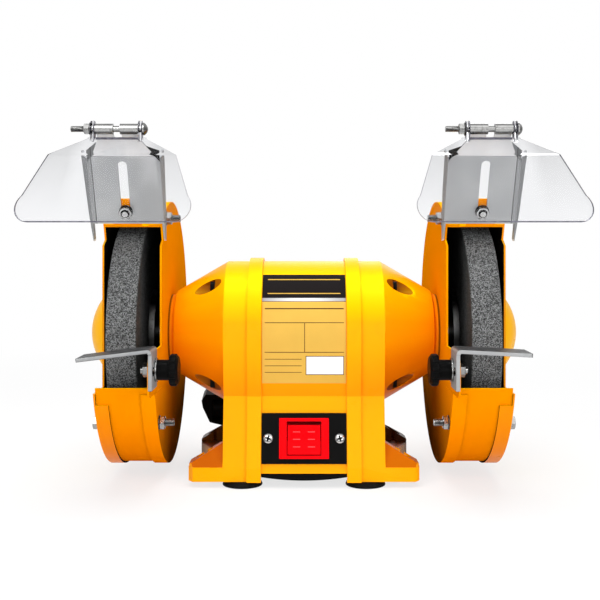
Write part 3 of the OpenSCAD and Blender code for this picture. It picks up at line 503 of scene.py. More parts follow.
@finish
def name_print(made):
    """Printed foil: a black band, a silver line with a painted sheen, and a gold field with blank panels."""
    across, up = made.along("X"), made.along("Z")

    def panel(left, right, low, high):
        wide = (across > left * MM) * (across < right * MM)
        return wide * (up > SHAFT_Z + low * MM) * (up < SHAFT_Z + high * MM)

    weave = made.noise(0.0009, 4.0, 0.6)
    cloud = made.noise(0.02, 2.0)
    gold, brown = tuple(colours().foil), (0.085, 0.035, 0.012)
    field = made.blend(cloud, shade(gold, 0.93), shade(gold, 1.07))
    for box in ((-33, 33.5, 23.6, 24.6), (-33, 33.5, 12.2, 12.8), (-33, 33.5, -12.6, -12.0),
                (0.2, 0.8, -12.0, 12.2), (-33, -2, -18.4, -17.9), (-33, -2, -24.0, -23.5),
                (-33, -2, -29.6, -29.1), (1.4, 33.6, -31.6, -15.4)):
        field = made.blend(panel(*box), field, brown)
    field = made.blend(panel(2.0, 33.0, -31.0, -16.0), field, (0.86, 0.86, 0.84))
    # Painted sheen: the silver line is painted bright in the middle and dark towards its ends.
    sheen = made.spread(abs(across), 0.0, 0.036, 0.0, 1.0)
    silver = made.blend(sheen, (0.86, 0.86, 0.86), (0.3, 0.3, 0.32))
    field = made.blend(panel(-40, 40, 30.2, 32.8), field, silver)
    field = made.blend(panel(-40, 40, 29.8, 30.2), field, brown)
    band = (0.008, 0.006, 0.006)
    for box in ((-31, 31, 36.2, 36.9), (-31, 31, 47.6, 48.3)):
        band = made.blend(panel(*box), band, gold)
    made.set(Base_Color=made.blend(panel(-40, 40, 32.8, 60.0), field, band),
             Roughness=made.spread(weave, 0.3, 0.7, 0.34, 0.46), Specular_IOR_Level=0.08)
    made.relief(weave, 0.00002, 0.3)


@finish
def clear_sheet(made, tint):
    """Clear polycarbonate with faint scratches, a little darker towards its top beside the
    bracket. It bends light less than the real sheet, so that it mirrors little of the room."""
    base = shade(tuple(colours().clear), tint)
    scratches = made.noise(0.003, 6.0, 0.7, 2.0, made.stretched((0.25, 1.0, 1.0)))
    beside = made.spread(abs(abs(made.along("X")) - UNIT_X * MM), 0.024, 0.034, 0.25, 1.0)
    darkening = made.noise(0.05, 2.0) * 0.2 + made.spread(made.along("Z"), 0.22, 0.28, 0.0, 0.8) * beside
    made.set(Base_Color=made.blend(darkening, base, shade(base, 0.72)),
             Roughness=made.spread(scratches, 0.5, 0.8, 0.0, 0.04),
             Transmission_Weight=1.0, IOR=1.1, Specular_IOR_Level=0.1)


@finish
def sheet_edge(made):
    """The sawn edge of the clear sheet, which gathers the light into a grey lilac line."""
    saw = made.noise(0.002, 5.0, 0.6)
    made.set(Base_Color=made.ramp(saw, (0.35, (0.09, 0.088, 0.115)), (0.7, (0.26, 0.255, 0.31))),
             Roughness=0.3, Specular_IOR_Level=0.1)


@finish
def bare_metal(made, colour, rough, metallic):
    """Ground or laminated metal, seen only when the machine is opened."""
    marks = made.noise(0.0015, 5.0, 0.6, 0.0, made.stretched((0.2, 1.0, 1.0)))
    made.set(Base_Color=made.blend(marks, shade(colour, 0.8), shade(colour, 1.15)),
             Metallic=metallic, Roughness=made.spread(marks, 0.3, 0.7, rough - 0.05, rough + 0.1))
    made.relief(marks, 0.00003, 0.4)


def zinc_plate():
    return zinc("zinc_plate", 1.0, 0.2)


def plated():
    """The finishes of a plated fastener and its washer, which is a darker zinc as painted shade under the head or
    nut.
    """
    return [zinc_plate(), zinc("dark_washers", 0.3, 0.35)]


def blackened():
    return moulded("blackened_screws", "black", 0.4, 0.00002)


def ground_steel():
    return bare_metal("ground_steel", (0.5, 0.5, 0.5), 0.3, 1.0)


# ---------------------------------------------------------------- mesh tools

def at(x, y, z):
    """A matrix that moves by millimetres."""
    return Matrix.Translation(Vector((x, y, z)) * MM)


def piece(node, bm, materials):
    """Turns a bmesh into the piece that stands for a node and rides on its body."""
    name, body, slot = f"{node}_shape", body_of(node), slot_of(node)
    mesh = bpy.data.meshes.new(name)
    bmesh.ops.recalc_face_normals(bm, faces=bm.faces)
    bm.to_mesh(mesh)
    bm.free()
    made = bpy.data.objects.new(name, mesh)
    bpy.context.scene.collection.objects.link(made)
    for material in materials:
        mesh.materials.append(material)
    mesh.shade_smooth()
    mesh.set_sharp_from_angle(angle=math.radians(35.0))
    made.modifiers.new("even_normals", "WEIGHTED_NORMAL").keep_sharp = True
    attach(made, body)
    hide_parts(node)


def body_of(node):
    for body, nodes in frame["record"]["behaviour"]["bodies"].items():
        if node in nodes:
            return body
    raise RuntimeError(f"no body holds {node}")


def slot_of(node):
    for row in frame["record"]["subparts"]:
        if row["node"] == node:
            return row["material_slot"]
    raise RuntimeError(f"no slot for {node}")


def solid_of(node):
    """A welded copy of a node's mesh, with its flat faces joined up."""
    bm = bmesh.new()
    bm.from_mesh(NODES[node].data)
    bmesh.ops.remove_doubles(bm, verts=bm.verts, dist=2e-6)
    bmesh.ops.dissolve_limit(bm, angle_limit=math.radians(0.3), verts=bm.verts, edges=bm.edges)
    return bm


def round_edges(bm, edges, width, segments=2):
    if edges:
        bmesh.ops.bevel(bm, geom=edges, offset=width, segments=segments, profile=0.5,
                        affect="EDGES", clamp_overlap=True, loop_slide=True)


def hard_edges(bm, degrees=28.0, keep=lambda edge: True):
    limit = math.radians(degrees)
    return [edge for edge in bm.edges if len(edge.link_faces) == 2
            and edge.calc_face_angle(0.0) > limit and keep(edge)]


def rounded(node, width, materials, segments=2, choose=(), index=None, extra=(), weld=1e-7):
    """A copy of a node's shape with its hard edges rounded, in place of the node.

    choose picks edges that get a wider round first, as (test, width) pairs, index gives a
    face its material, extra forms are joined on, and corners closer than weld become one."""
    bm = solid_of(node)
    for test, wide in choose:
        round_edges(bm, hard_edges(bm, keep=test), wide, 4)
    round_edges(bm, hard_edges(bm), width, segments)
    bmesh.ops.remove_doubles(bm, verts=bm.verts, dist=weld)
    if index:
        for face in bm.faces:
            face.material_index = index(face)
    for form in extra:
        join(bm, form)
    piece(node, bm, materials if isinstance(materials, list) else [materials])


def join(bm, form):
    """Moves a form's faces into bm."""
    mesh = bpy.data.meshes.new("joining")
    form.to_mesh(mesh)
    form.free()
    bm.from_mesh(mesh)
    bpy.data.meshes.remove(mesh)


def carved(bm, cutter):
    """bm without the space that cutter fills."""
    blanks = []
    for form in (bm, cutter):
        mesh = bpy.data.meshes.new("carving")
        bmesh.ops.recalc_face_normals(form, faces=form.faces)
        form.to_mesh(mesh)
        form.free()
        blanks.append(bpy.data.objects.new("carving", mesh))
        bpy.context.scene.collection.objects.link(blanks[-1])
    carve = blanks[0].modifiers.new("carve", "BOOLEAN")
    carve.operation, carve.object, carve.solver = "DIFFERENCE", blanks[1], "EXACT"
    graph = bpy.context.evaluated_depsgraph_get()
    result = bmesh.new()
    result.from_mesh(blanks[0].evaluated_get(graph).to_mesh())
    for blank in blanks:
        mesh = blank.data
        bpy.data.objects.remove(blank)
        bpy.data.meshes.remove(mesh)
    bmesh.ops.remove_doubles(result, verts=result.verts, dist=2e-6)
    return result


def dress(node, material):
    """Gives a node that is kept as it is its finish."""
    NODES[node].data.materials.clear()
    NODES[node].data.materials.append(material)


def aim(place, along):
    """A matrix that puts local Z along a direction other than Z, at a place in millimetres."""
    z = Vector(along).normalized()
    x = Vector((0.0, 0.0, 1.0)).cross(z).normalized()
    return at(*place) @ Matrix((x, z.cross(x), z)).transposed().to_4x4()


def value_at(value, angle):
    return value(angle) if callable(value) else value


def turned(bm, rows, place, steps=32, closed=False, index=0):
    """Sweeps rows of (radius, height), in millimetres, round local Z. Either may be a function
    of the angle, a radius of 0 closes to a point, and closed joins the last row to the first."""
    rings = []
    for radius, height in rows:
        if radius == 0:
            rings.append([bm.verts.new(place @ Vector((0.0, 0.0, value_at(height, 0.0) * MM)))])
            continue
        ring = []
        for step in range(steps):
            angle = 2 * math.pi * step / steps
            reach = value_at(radius, angle) * MM
            ring.append(bm.verts.new(place @ Vector((reach * math.cos(angle),
                                                     reach * math.sin(angle),
                                                     value_at(height, angle) * MM))))
        rings.append(ring)
    pairs = list(zip(rings, rings[1:]))
    if closed:
        pairs.append((rings[-1], rings[0]))
    for low, high in pairs:
        for step in range(steps):
            after = (step + 1) % steps
            corners = [low[step % len(low)], low[after % len(low)],
                       high[after % len(high)], high[step % len(high)]]
            corners = [corner for n, corner in enumerate(corners) if corner not in corners[:n]]
            if len(corners) > 2:
                bm.faces.new(corners).material_index = index


def hexagon(across, most=math.inf):
    """Radius of a hexagon at an angle, but no more than most."""
    return lambda angle: min(across / 2 / math.cos(angle % (math.pi / 3) - math.pi / 6), most)


def nut(bm, across, thick, bore, place):
    """A hexagon nut with its corners chamfered or, with a bore of 0, a bolt's head, which is
    chamfered only on top."""
    chamfer = across * 0.05
    low = [(hexagon(across, across * share), chamfer * n / 2)
           for n, share in enumerate((0.49, 0.535))]
    high = [(radius, thick - height) for radius, height in reversed(low)]
    flats = [(hexagon(across), chamfer if bore else 0), (hexagon(across), thick - chamfer)]
    if bore:
        sink = 0.7
        rows = [(bore, sink), (bore + sink, 0), *low, *flats, *high, (bore + sink, thick),
                (bore, thick - sink)]
    else:
        rows = [(0, 0), *flats, *high, (0, thick)]
    turned(bm, rows, place, 48, closed=bool(bore))


def washer(bm, radius, thick, bore, place):
    """A washer in the second material."""
    edge = min(0.25, thick / 4)
    turned(bm, [(bore, 0), (radius - edge, 0), (radius, edge), (radius, thick - edge),
                (radius - edge, thick), (bore, thick)], place, 40, closed=True, index=1)


def thread(bm, radius, low, high, place, pitch=1.0):
    """A threaded rod from low to high."""
    depth = pitch * 0.45

    def groove(height):
        return lambda angle: radius - depth * abs(
            ((height / pitch - angle / (2 * math.pi)) % 1.0) * 2 - 1)

    count = max(4, int((high - low - 1.0) / pitch * 4))
    rows = [(0, low), (radius - depth - 0.1, low)]
    for step in range(count + 1):
        height = low + 0.5 + (high - low - 1.0) * step / count
        rows.append((groove(height), height))
    rows += [(radius - depth - 0.1, high), (0, high)]
    turned(bm, rows, place, 24)


def pan_head(bm, radius, high, place):
    """A domed screw head with a cross recess in the second material."""
    slot, reach, deep = radius * 0.16, radius * 0.58, high * 0.5

    def top(share):
        dome = high * (1 - 0.55 * share ** 4) if share < 1 else high * 0.3

        def height(angle):
            across, along = (abs(radius * share * f(angle)) for f in (math.cos, math.sin))
            inside = min(across, along) < slot and max(across, along) < reach
            return dome - (deep if inside else 0.0)
        return height

    rows = [(radius * 0.98, 0), (radius, high * 0.25), (radius * 0.97, high * 0.55)]
    rows += [(radius * share, top(share)) for share in
             (0.9, 0.78, 0.68, 0.6, 0.55, 0.48, 0.4, 0.32, 0.24, 0.17, 0.1)]
    rows.append((0, high - deep))
    turned(bm, rows, place, 72)
    back = place.inverted()
    for face in bm.faces:
        spot = back @ face.calc_center_median() / MM
        across, along = sorted((abs(spot.x), abs(spot.y)))
        if across < slot and along < reach and 0 < spot.z < high - deep * 0.4:
            face.material_index = 1


def bar(bm, size, place):
    """A block of size, in millimetres, with its middle at place, in the second material."""
    made = bmesh.ops.create_cube(bm, size=1.0, matrix=place @ Matrix.Diagonal(
        (*(side * MM for side in size), 1.0)))
    faces = {face for vert in made["verts"] for face in vert.link_faces}
    for face in faces:
        face.material_index = 1
    edges = {edge for face in faces for edge in face.edges}
    bmesh.ops.bevel(bm, geom=list(edges), offset=min(size) * 0.28 * MM, segments=2, profile=0.5,
                    affect="EDGES", clamp_overlap=True)


def shaft_angle(place):
    """Angle of a point round the shaft, from +Y, in degrees from 0 to 360."""
    return math.degrees(math.atan2(place.z - SHAFT_Z, place.y)) % 360


def shaft_reach(place):
    """Distance of a point from the shaft, in millimetres."""
    return math.hypot(place.y, place.z - SHAFT_Z) / MM


def shield_hinge(name):
    """The place of a shield's hinge, in metres."""
    return Vector(JOINTS[f"shield_lift_{name}"]["pos_m"])


# ---------------------------------------------------------------- operators

class GRINDER_OT_stage(bpy.types.Operator):
    """Sets up the floor, the lights and the camera"""
    bl_idname = "grinder.stage"
    bl_label = "Stage"

    def execute(self, context):
        self.camera(context)
        self.floor()
        self.lights(context)
        self.background(context)
        context.scene.view_settings.view_transform = "Standard"
        return {"FINISHED"}

    def camera(self, context):
        data = bpy.data.cameras.new("camera")
        data.lens = sizes().lens
        data.sensor_width = 36.0
        data.shift_x = -0.0067
        data.shift_y = -0.1
        data.clip_start = 0.05
        data.clip_end = 50.0
        camera = bpy.data.objects.new("camera", data)
        camera.location = (0.0, -sizes().camera_back, SHAFT_Z + sizes().camera_over)
        camera.rotation_euler = (math.radians(90.0), 0.0, 0.0)
        context.scene.collection.objects.link(camera)
        context.scene.camera = camera

    def floor(self):
        bm = bmesh.new()
        bmesh.ops.create_grid(bm, x_segments=4, y_segments=4, size=20.0)
        mesh = bpy.data.meshes.new("floor")
        bm.to_mesh(mesh)
        bm.free()
        floor = bpy.data.objects.new("floor", mesh)
        floor.location.z = FLOOR_Z - 0.0002
        bpy.context.scene.collection.objects.link(floor)
        made = Finish("pale_floor")
        made.set(Base_Color=made.blend(made.noise(0.4), (0.90, 0.90, 0.90), (0.93, 0.93, 0.93)),
                 Roughness=0.8, Specular_IOR_Level=0.0)
        glow = made.node("ShaderNodeEmission", inputs={"Color": (1.0, 1.0, 1.0), "Strength": 1.0})
        away = made.node("ShaderNodeVectorMath", {"operation": "LENGTH"}, {0: made.place()}, "Value")
        far = made.spread(away, 0.35, 1.1, 0.74, 1.0)
        mixed = made.node("ShaderNodeMixShader", inputs={
            0: made.seen() * far, 1: Wire(made, made.shader.outputs[0]), 2: glow})
        made.join(made.tree.nodes["Material Output"].inputs["Surface"], mixed)
        mesh.materials.append(made.material)

    def lights(self, context):
        lamps = (("bounce", (0.0, -1.3, 0.05), 1.2, 6.5), ("key", (-0.7, -1.3, 1.15), 0.9, 8.0),
                 ("fill", (0.9, -1.3, 0.3), 1.0, 5.0), ("top", (0.0, -0.25, 1.45), 1.1, 17.0),
                 ("back", (0.3, 1.3, 0.9), 1.0, 4.0))
        for name, place, size, power in lamps:
            data = bpy.data.lights.new(name, "AREA")
            data.shape = "DISK"
            data.size = size
            data.energy = power
            lamp = bpy.data.objects.new(name, data)
            lamp.location = place
            lamp.visible_glossy = name != "top"
            toward = Vector((0.0, 0.0, SHAFT_Z)) - Vector(place)
            lamp.rotation_euler = toward.to_track_quat("-Z", "Y").to_euler()
            context.scene.collection.objects.link(lamp)

    def background(self, context):
        world = bpy.data.worlds.new("studio")
        world.use_nodes = True
        context.scene.world = world
        made = Nodes(world.node_tree)
        lit, white = (made.node("ShaderNodeBackground", inputs={"Color": colour, "Strength": power})
                      for colour, power in (((0.97, 0.98, 1.0), 0.34), ((1.0, 1.0, 1.0), 1.0)))
        mixed = made.node("ShaderNodeMixShader", inputs={0: made.seen(), 1: lit, 2: white})
        made.join(made.tree.nodes["World Output"].inputs["Surface"], mixed)


class GRINDER_OT_housing(bpy.types.Operator):
    """Builds the motor housing"""
    bl_idname = "grinder.housing"
    bl_label = "Motor housing"

    def execute(self, context):
        gold = housing_enamel("housing_enamel")
        rounded("motor_shell", sizes().cast_round, gold, 3)
        for name, side in SIDES.items():
            rounded(f"end_bell_{name}", sizes().cast_round, gold, 3,
                    choose=[(self.rib_edge(side), 2.4 * MM)], extra=self.ramps(side))
        rounded("bottom_pan", sizes().sheet_round, moulded("black_pan", "black", 0.4, 0.00002))
        rounded("name_plate", 0.05 * MM, name_print("name_plate_print"))
        # The bolts in the castings' hollows are made black, partly as black bolts and partly so that they read as
        # part of the painted shade there.
        rounded("housing_bolts", sizes().hardware_round, blackened())
        rounded("rubber_feet", 0.5 * MM, rubber("foot_rubber"), 3)
        rounded("foot_screws", sizes().hardware_round, blackened())
        return {"FINISHED"}

    def ramps(self, side):
        """The ramps from the legs out over the corners of the feet, with a pocket in each for
        its bench bolt. Each is a block cut by three planes: its slope, the bevel along the
        foot's side and the foot's corner."""
        low, root, end = 11.4, 65.5, 96.6
        block = at((root + end) / 2, 56.3, 22.0) @ Matrix.Diagonal(
            (*(Vector((end - root, 22.6, 21.2)) * MM), 1.0))
        planes = (((68, 0, 31), (17, 0, 29)), ((0, 67.6, low), (0, 1.6, 1)),
                  ((94.8, 64.8, 0), (1.5, 1, 0)))
        made = []
        for front in (-1, 1):
            bm = bmesh.new()
            bmesh.ops.create_cube(bm, size=1.0, matrix=block)
            for spot, away in planes:
                everything = [*bm.verts, *bm.edges, *bm.faces]
                cut = bmesh.ops.bisect_plane(bm, geom=everything, plane_co=Vector(spot) * MM,
                                             plane_no=Vector(away), clear_outer=True)
                rim = [part for part in cut["geom_cut"] if isinstance(part, bmesh.types.BMEdge)]
                bmesh.ops.contextual_create(bm, geom=rim)
            pocket = bmesh.new()
            bmesh.ops.create_cone(pocket, cap_ends=True, segments=40, radius1=7.2 * MM,
                                  radius2=7.2 * MM, depth=0.04, matrix=at(*BENCH_HOLE, 20.0))
            bm = carved(bm, pocket)
            round_edges(bm, hard_edges(bm, keep=lambda edge: all(
                vert.co.z > (low + 0.8) * MM for vert in edge.verts)), 1.1 * MM, 3)
            for vert in bm.verts:
                vert.co.x *= side
                vert.co.y *= front
            bmesh.ops.recalc_face_normals(bm, faces=bm.faces)
            made.append(bm)
        return made

    def rib_edge(self, side):
        """Picks the edges of the rib round the barrel."""
        def test(edge):
            return all(min(abs(vert.co.x * side - x * MM) for x in BARREL_RIBS) < 2e-5
                       and vert.co.z > 0.001 for vert in edge.verts)
        return test


class GRINDER_OT_switch(bpy.types.Operator):
    """Builds the rocker switch, its bezel, plate and screws"""
    bl_idname = "grinder.switch"
    bl_label = "Switch"

    def execute(self, context):
        panel = at(*SWITCH_PLACE) @ Matrix.Rotation(math.pi / 2 - SWITCH_LEAN, 4, "X")
        red = moulded("switch_red", "red", 0.22, 0.00001)
        dark = moulded("switch_dark_red", "groove", 0.4, 0.00001)
        rounded("switch_plate", 1.1 * MM, moulded("plate_black", "black", 0.3, 0.00003), 4)
        rounded("switch_bezel", 0.8 * MM, [red, dark], 4, choose=[(self.opening, 1.6 * MM)],
                index=self.in_groove)
        self.rocker(panel, [red, moulded("rocker_marks", "marks", 0.3, 0.00001), dark])
        self.screws(panel)
        return {"FINISHED"}

    def opening(self, edge):
        """Picks the edge round the rocker's opening in the bezel."""
        return all(abs(vert.co.x) < 14.6 * MM and 20.0 * MM < vert.co.z < 51.0 * MM
                   and vert.co.y < -0.062 for vert in edge.verts)

    def in_groove(self, face):
        """Gives the walls of the bezel's opening the second material, a dark red as painted shade."""
        middle = face.calc_center_median()
        high = middle.z - SWITCH_PLACE[2] * MM
        wide = abs(middle.x) < 15.7 * MM and abs(high) < 15.2 * MM
        return 1 if wide and face.normal.y > -0.93 else 0

    def rocker(self, panel, materials):
        """The rocker, with its face, its sides and two rows of ridges in their own materials. The sides take
        the dark red as painted shade, and the ridges a paler red as painted highlight.
        """
        bm = solid_of("switch_rocker")
        front = max(bm.faces, key=lambda face: face.calc_area() * -face.normal.y)
        round_edges(bm, list(front.edges), 1.9 * MM, 3)
        for face in bm.faces:
            # Painted shade: the rocker's sides take the dark red.
            face.material_index = 0 if face.normal.y < -0.9 else 2
        face = panel @ at(0, 0, -1) @ Matrix.Rotation(math.radians(7.0), 4, "X")
        step = 6.2
        for column in (-1, 1):
            for row in (-1, 0, 1):
                lift = 5.85 + 0.065 * abs(row * step)
                bar(bm, (6.4, 1.0, 0.8), face @ at(column * step, row * step, lift))
        piece("switch_rocker", bm, materials)

    def screws(self, panel):
        """The two screws of the switch's plate."""
        bm = bmesh.new()
        for side in (-1, 1):
            place = panel @ at(side * 30.0, 0, 2.05)
            pan_head(bm, 4.1, 2.2, place @ Matrix.Rotation(0.3 * side, 4, "Z"))
            turned(bm, [(0, -9), (1.5, -9), (1.6, 0), (0, 0.5)], place, 20)
        # The cross recesses take the black finish as painted shade.
        piece("switch_screws", bm, [zinc("bright_screws", 1.5, 0.2), blackened()])


class GRINDER_OT_guards(bpy.types.Operator):
    """Builds the wheel guards"""
    bl_idname = "grinder.guards"
    bl_label = "Wheel guards"

    def execute(self, context):
        # The second finish is black, painted shade for the inside of each guard.
        paints = [guard_enamel("guard_enamel", 0.0), guard_inside("guard_inside")]
        glossy = [guard_enamel("cover_enamel", 0.05), paints[1]]
        for name, side in SIDES.items():
            rounded(f"inner_guard_{name}", sizes().sheet_round, paints,
                    choose=[(self.rim_edge(side * GUARD_X, GUARD_MOUTH), 3.2 * MM)],
                    index=self.inside(side), weld=0.03 * MM)
            rounded(f"outer_cover_{name}", sizes().sheet_round, glossy,
                    choose=[(self.rim_edge(side * COVER_X, COVER_MOUTH), 2.2 * MM)],
                    index=self.inside(-side))
            rounded(f"guard_rim_{name}", sizes().sheet_round, paints, index=self.inside(0))
        return {"FINISHED"}

    def rim_edge(self, x, mouth):
        """Picks the round outer corner of a plate, but not across its mouth."""
        def on_rim(spot):
            return (abs(spot.x - x * MM) < 2e-5 and abs(shaft_reach(spot) - GUARD_RADIUS) < 0.05
                    and not mouth[0] < shaft_angle(spot) < mouth[1])
        return lambda edge: all(on_rim(vert.co) for vert in edge.verts)

    def inside(self, side):
        """Gives the faces that look into a guard the second material, which is black as painted shade."""
        def test(face):
            middle, normal = face.calc_center_median(), face.normal
            away = Vector((0.0, middle.y, middle.z - SHAFT_Z)).normalized()
            inward = normal.dot(away) < -0.6 and shaft_reach(middle) > GUARD_RADIUS - 11.0
            return 1 if inward or normal.x * side > 0.6 else 0
        return test


class GRINDER_OT_wheels(bpy.types.Operator):
    """Builds the grinding wheels and what holds them"""
    bl_idname = "grinder.wheels"
    bl_label = "Wheels"

    def execute(self, context):
        grit = abrasive("abrasive_stone")
        for name in SIDES:
            rounded(f"wheel_{name}", 0.4 * MM, grit)
        rounded("wheel_flanges", 0.8 * MM, zinc("flange_steel", 0.3, 0.4))
        rounded("shaft_nuts", 0.6 * MM, zinc("shaft_nut_steel", 0.6, 0.35))
        dress("rotor_shaft", ground_steel())
        return {"FINISHED"}


class GRINDER_OT_shields(bpy.types.Operator):
    """Builds the eye shields, their brackets and hinges"""
    bl_idname = "grinder.shields"
    bl_label = "Eye shields"

    def execute(self, context):
        # Painted light and shade: these stops paint the down-facing upper plate brightest and upright faces
        # darkest.
        sheet = galvanised("galvanised_sheet", ((-0.85, 1.0), (-0.6, 1.0), (-0.5, 0.56),
                                                (0.0, 0.36), (0.8, 0.6)), 0.34)
        for name, side in SIDES.items():
            rounded(f"shield_bracket_{name}", sizes().sheet_round,
                    [sheet, zinc_plate(), zinc("dark_sides", 0.12, 0.4)], 3,
                    index=self.on_hinge(name), extra=self.corners(side))
            self.shield(name)
            self.hinge(name, side)
        return {"FINISHED"}

    def corners(self, side):
        """The folded corners that join a bracket's flanges to its upper plate. Their spots are
        given by X, then the distances up the lower plate, behind it and up the upper plate. The corner
        on the motor's side takes the third material, a dark zinc as painted shade."""
        upper = Vector((0.0, -math.sin(BRACKET_UPPER_LEAN), math.cos(BRACKET_UPPER_LEAN)))
        made = []
        for tone, spots in (
                (2, ((126.7, 61.0, -1.2, 9.4), (122.0, 60.6, -1.2, 0.0), (117.2, 53.5, -1.2, 0.0),
                     (117.2, 62.5, 3.0, 0.0))),
                (0, ((165.6, 61.0, -1.2, 14.0), (170.7, 60.6, -1.2, 0.0), (175.5, 53.5, -1.2, 0.0),
                     (176.8, 62.5, 3.0, 0.0)))):
            bm = bmesh.new()
            verts = [bm.verts.new((BRACKET_FOOT + Vector((x * side, 0, 0)) + BRACKET_UP * high
                                   - BRACKET_OUT * deep + upper * reach) * MM)
                     for x, high, deep, reach in spots]
            faces = [bm.faces.new([verts[n] for n in corner]) for corner in ((0, 1, 3), (1, 2, 3))]
            bmesh.ops.solidify(bm, geom=faces, thickness=1.2 * MM)
            bmesh.ops.recalc_face_normals(bm, faces=bm.faces)
            round_edges(bm, hard_edges(bm), 0.3 * MM, 2)
            for face in bm.faces:
                face.material_index = tone
            made.append(bm)
        return made

    def on_hinge(self, name):
        """Gives a bracket's hinge knuckles the second material."""
        hinge = shield_hinge(name)

        def test(face):
            away = face.calc_center_median() - hinge
            return 1 if math.hypot(away.y, away.z) < 4.6 * MM else 0
        return test

    def shield(self, name):
        """A shield with its bend and rim rounded. Its flat sheet, its sawn edge and its bend each
        have a material."""
        bm = solid_of(f"eye_shield_{name}")
        hinge = shield_hinge(name)
        least_panel, ear, bend_drop = 1000e-6, 13 * MM, 45 * MM
        panels = [face.normal.copy() for face in bm.faces if face.calc_area() > least_panel]
        bend = [edge for edge in bm.edges if edge.calc_length() > 0.06 and all(
            face.calc_area() > least_panel for face in edge.link_faces)]
        round_edges(bm, bend, 3.5 * MM, 6)
        round_edges(bm, hard_edges(bm, 40.0), 0.6 * MM, 3)
        for face in bm.faces:
            middle, across = face.calc_center_median(), abs(face.normal.x)
            near = (middle - hinge).length < ear
            flat = max(abs(face.normal.dot(panel)) for panel in panels) > 0.93
            bent = across < 0.02 and middle.z > hinge.z - bend_drop
            if flat or (near and across > 0.9):
                face.material_index = 0
            else:
                face.material_index = 2 if bent and not near else 1
        piece(f"eye_shield_{name}", bm, [clear_sheet("clear_sheet", 1.0), sheet_edge("clear_edge"),
                                         clear_sheet("clear_bend", 0.97)])

    def hinge(self, name, side):
        """A hinge's bolt, with its dome to the right, and its nut."""
        middle = shield_hinge(name) / MM
        middle.x = side * UNIT_X
        left = aim(middle - Vector((EAR_X, 0, 0)), (-1, 0, 0))
        right = aim(middle + Vector((EAR_X, 0, 0)), (1, 0, 0))
        bm = bmesh.new()
        far = -2 * EAR_X - 1
        turned(bm, [(0, far), (2.45, far), (2.45, 3.5), (0, 4)], left, 32)
        thread(bm, 2.5, 3.4, 16.0, left, 0.9)
        washer(bm, 4.6, 0.8, 2.4, right)
        turned(bm, [(0, 0.4), (5.0, 0.5), (5.05, 1.5), (4.3, 2.5), (3.2, 3.6), (1.6, 4.3), (0, 4.5)],
               right, 40)
        piece(f"hinge_bolt_{name}", bm, plated())
        bm = bmesh.new()
        washer(bm, 5.3, 1.0, 2.55, left)
        nut(bm, 8.0, 4.3, 2.55, left @ at(0, 0, 1.15))
        piece(f"hinge_nut_{name}", bm, plated())


class GRINDER_OT_rests(bpy.types.Operator):
    """Builds the tool rests and their knobs"""
    bl_idname = "grinder.rests"
    bl_label = "Tool rests"

    def execute(self, context):
        # Painted shade: these stops paint the rest's top and underside dark and its upright edges paler.
        sheet = galvanised("rest_sheet", ((-0.6, 0.08), (0.0, 0.32), (0.5, 0.3), (0.85, 0.06)), 0.3)
        black = moulded("knob_black", "black", 0.34, 0.00004)
        for name in SIDES:
            rounded(f"tool_rest_{name}", 0.9 * MM, sheet, 3)
            rounded(f"rest_knob_{name}", sizes().moulded_round, black, 3)
            rounded(f"rest_washer_{name}", 0.2 * MM, zinc_plate())
            rounded(f"rest_stud_{name}", 0.3 * MM, zinc_plate())
        rounded("rest_nuts", 0.4 * MM, zinc("brassy_nuts", 0.8, 0.3))
        return {"FINISHED"}


class GRINDER_OT_fasteners(bpy.types.Operator):
    """Builds the guards' and brackets' bolts and nuts"""
    bl_idname = "grinder.fasteners"
    bl_label = "Fasteners"

    def execute(self, context):
        bolts, nuts = bmesh.new(), bmesh.new()
        for side in (-1, 1):
            for angle in GUARD_BOLT_ANGLES:
                turn = math.radians(angle)
                self.guard_bolt(bolts, nuts, side, GUARD_BOLT_CIRCLE * math.cos(turn),
                                SHAFT_Z / MM + GUARD_BOLT_CIRCLE * math.sin(turn))
        piece("guard_bolts", bolts, plated())
        piece("guard_nuts", nuts, plated())
        self.clamps()
        return {"FINISHED"}

    def guard_bolt(self, bolts, nuts, side, y, z):
        """A bolt through a cover and an inner guard, and its washer and nut."""
        outer = aim((side * COVER_X, y, z), (side, 0, 0))
        nut(bolts, 10.0, 4.0, 0, outer)
        turned(bolts, [(0, -50), (2.9, -50), (2.9, 0.1), (0, 0.2)], outer, 24)
        inner = aim((side * GUARD_X, y, z), (-side, 0, 0))
        thread(bolts, 3.0, -2.0, 12.5, inner)
        washer(nuts, 5.9, 0.9, 3.05, inner)
        nut(nuts, 10.0, 4.1, 3.05, inner @ at(0, 0, 0.9))

    def clamps(self):
        """The bolts and nuts that hold the brackets, with bright ends as painted highlight and dark flanks as
        painted shade.
        """
        bolts, nuts = bmesh.new(), bmesh.new()
        for side in (-1, 1):
            foot = BRACKET_FOOT + Vector((side * UNIT_X, 0, 0))
            place = aim(foot + BRACKET_UP * CLAMP_HIGH, BRACKET_OUT)
            thread(bolts, 3.0, -1.2, 8.4, place)
            turned(bolts, [(0, -3.5), (4.6, -3.5), (6.0, -2.4), (6.0, -1.3), (0, -1.3)], place, 32)
            washer(nuts, 5.7, 0.7, 3.05, place @ at(0, 0, 1.7))
            nut(nuts, 10.0, 4.3, 3.05, place @ at(0, 0, 2.4))
        # Painted light and shade: faces along the bolt take the bright zinc as painted highlight, all other faces
        # the dark zinc as painted shade.
        for face in [*bolts.faces, *nuts.faces]:
            face.normal_update()
            if abs(face.normal.dot(BRACKET_OUT)) < 0.8:
                face.material_index = 1
        tones = [zinc("bright_ends", 1.5, 0.3), zinc("dark_sides", 0.06, 0.4)]
        piece("bracket_bolts", bolts, tones)
        piece("bracket_nuts", nuts, tones)


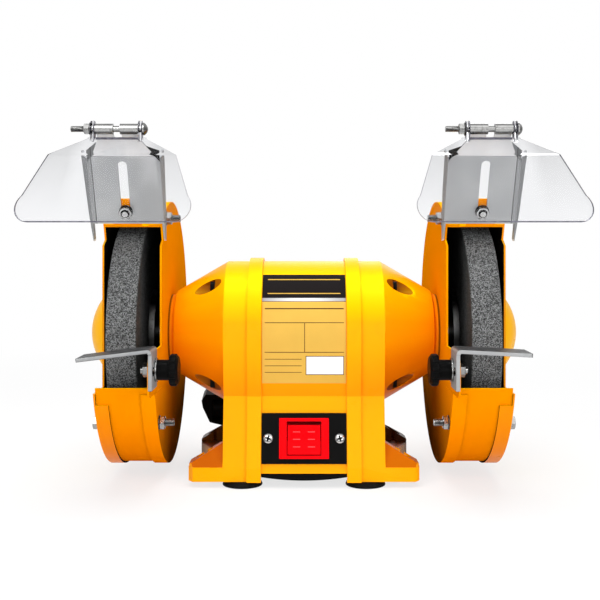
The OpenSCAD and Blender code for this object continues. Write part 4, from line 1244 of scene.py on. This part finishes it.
class GRINDER_OT_back(bpy.types.Operator):
    """Builds the capacitor box, the cord gland and the motor's inner parts"""
    bl_idname = "grinder.back"
    bl_label = "Back and inside"

    def execute(self, context):
        black = moulded("box_black", "black", 0.36, 0.00003)
        rounded("capacitor_box", sizes().moulded_round, black, 3)
        rounded("cord_gland", 0.5 * MM, black, 3)
        rounded("guard_screws", 0.4 * MM, blackened())
        steel = ground_steel()
        stack = bare_metal("laminated_steel", (0.2, 0.2, 0.21), 0.5, 0.9)
        inner = {"rotor_core": stack, "stator_core": stack,
                 "stator_windings": bare_metal("winding_copper", (0.45, 0.17, 0.05), 0.4, 0.8),
                 "run_capacitor": moulded("can_sleeve", "black", 0.3, 0.00002),
                 "bearing_outer_rings": steel, "bearing_inner_rings": steel,
                 "bearing_balls": steel}
        for node, material in inner.items():
            dress(node, material)
        return {"FINISHED"}


OPERATORS = (GRINDER_OT_stage, GRINDER_OT_housing, GRINDER_OT_switch, GRINDER_OT_guards,
             GRINDER_OT_wheels, GRINDER_OT_shields, GRINDER_OT_rests, GRINDER_OT_fasteners,
             GRINDER_OT_back)


class GRINDER_PT_panel(bpy.types.Panel):
    """Lists the steps that build the grinder"""
    bl_idname = "GRINDER_PT_panel"
    bl_label = "Bench grinder"
    bl_space_type = "VIEW_3D"
    bl_region_type = "UI"
    bl_category = "Grinder"

    def draw(self, context):
        for operator in OPERATORS:
            self.layout.operator(operator.bl_idname)
        for group in (context.scene.grinder_sizes, context.scene.grinder_colours):
            for name in group.__annotations__:
                self.layout.prop(group, name)


CLASSES = (GrinderSizes, GrinderColours, *OPERATORS, GRINDER_PT_panel)


def register():
    for each in CLASSES:
        bpy.utils.register_class(each)
    bpy.types.Scene.grinder_sizes = bpy.props.PointerProperty(type=GrinderSizes)
    bpy.types.Scene.grinder_colours = bpy.props.PointerProperty(type=GrinderColours)


def unregister():
    del bpy.types.Scene.grinder_colours
    del bpy.types.Scene.grinder_sizes
    for each in reversed(CLASSES):
        bpy.utils.unregister_class(each)


def main():
    register()
    for operator in OPERATORS:
        group, name = operator.bl_idname.split(".")
        getattr(getattr(bpy.ops, group), name)()


if __name__ == "__main__":
    main()
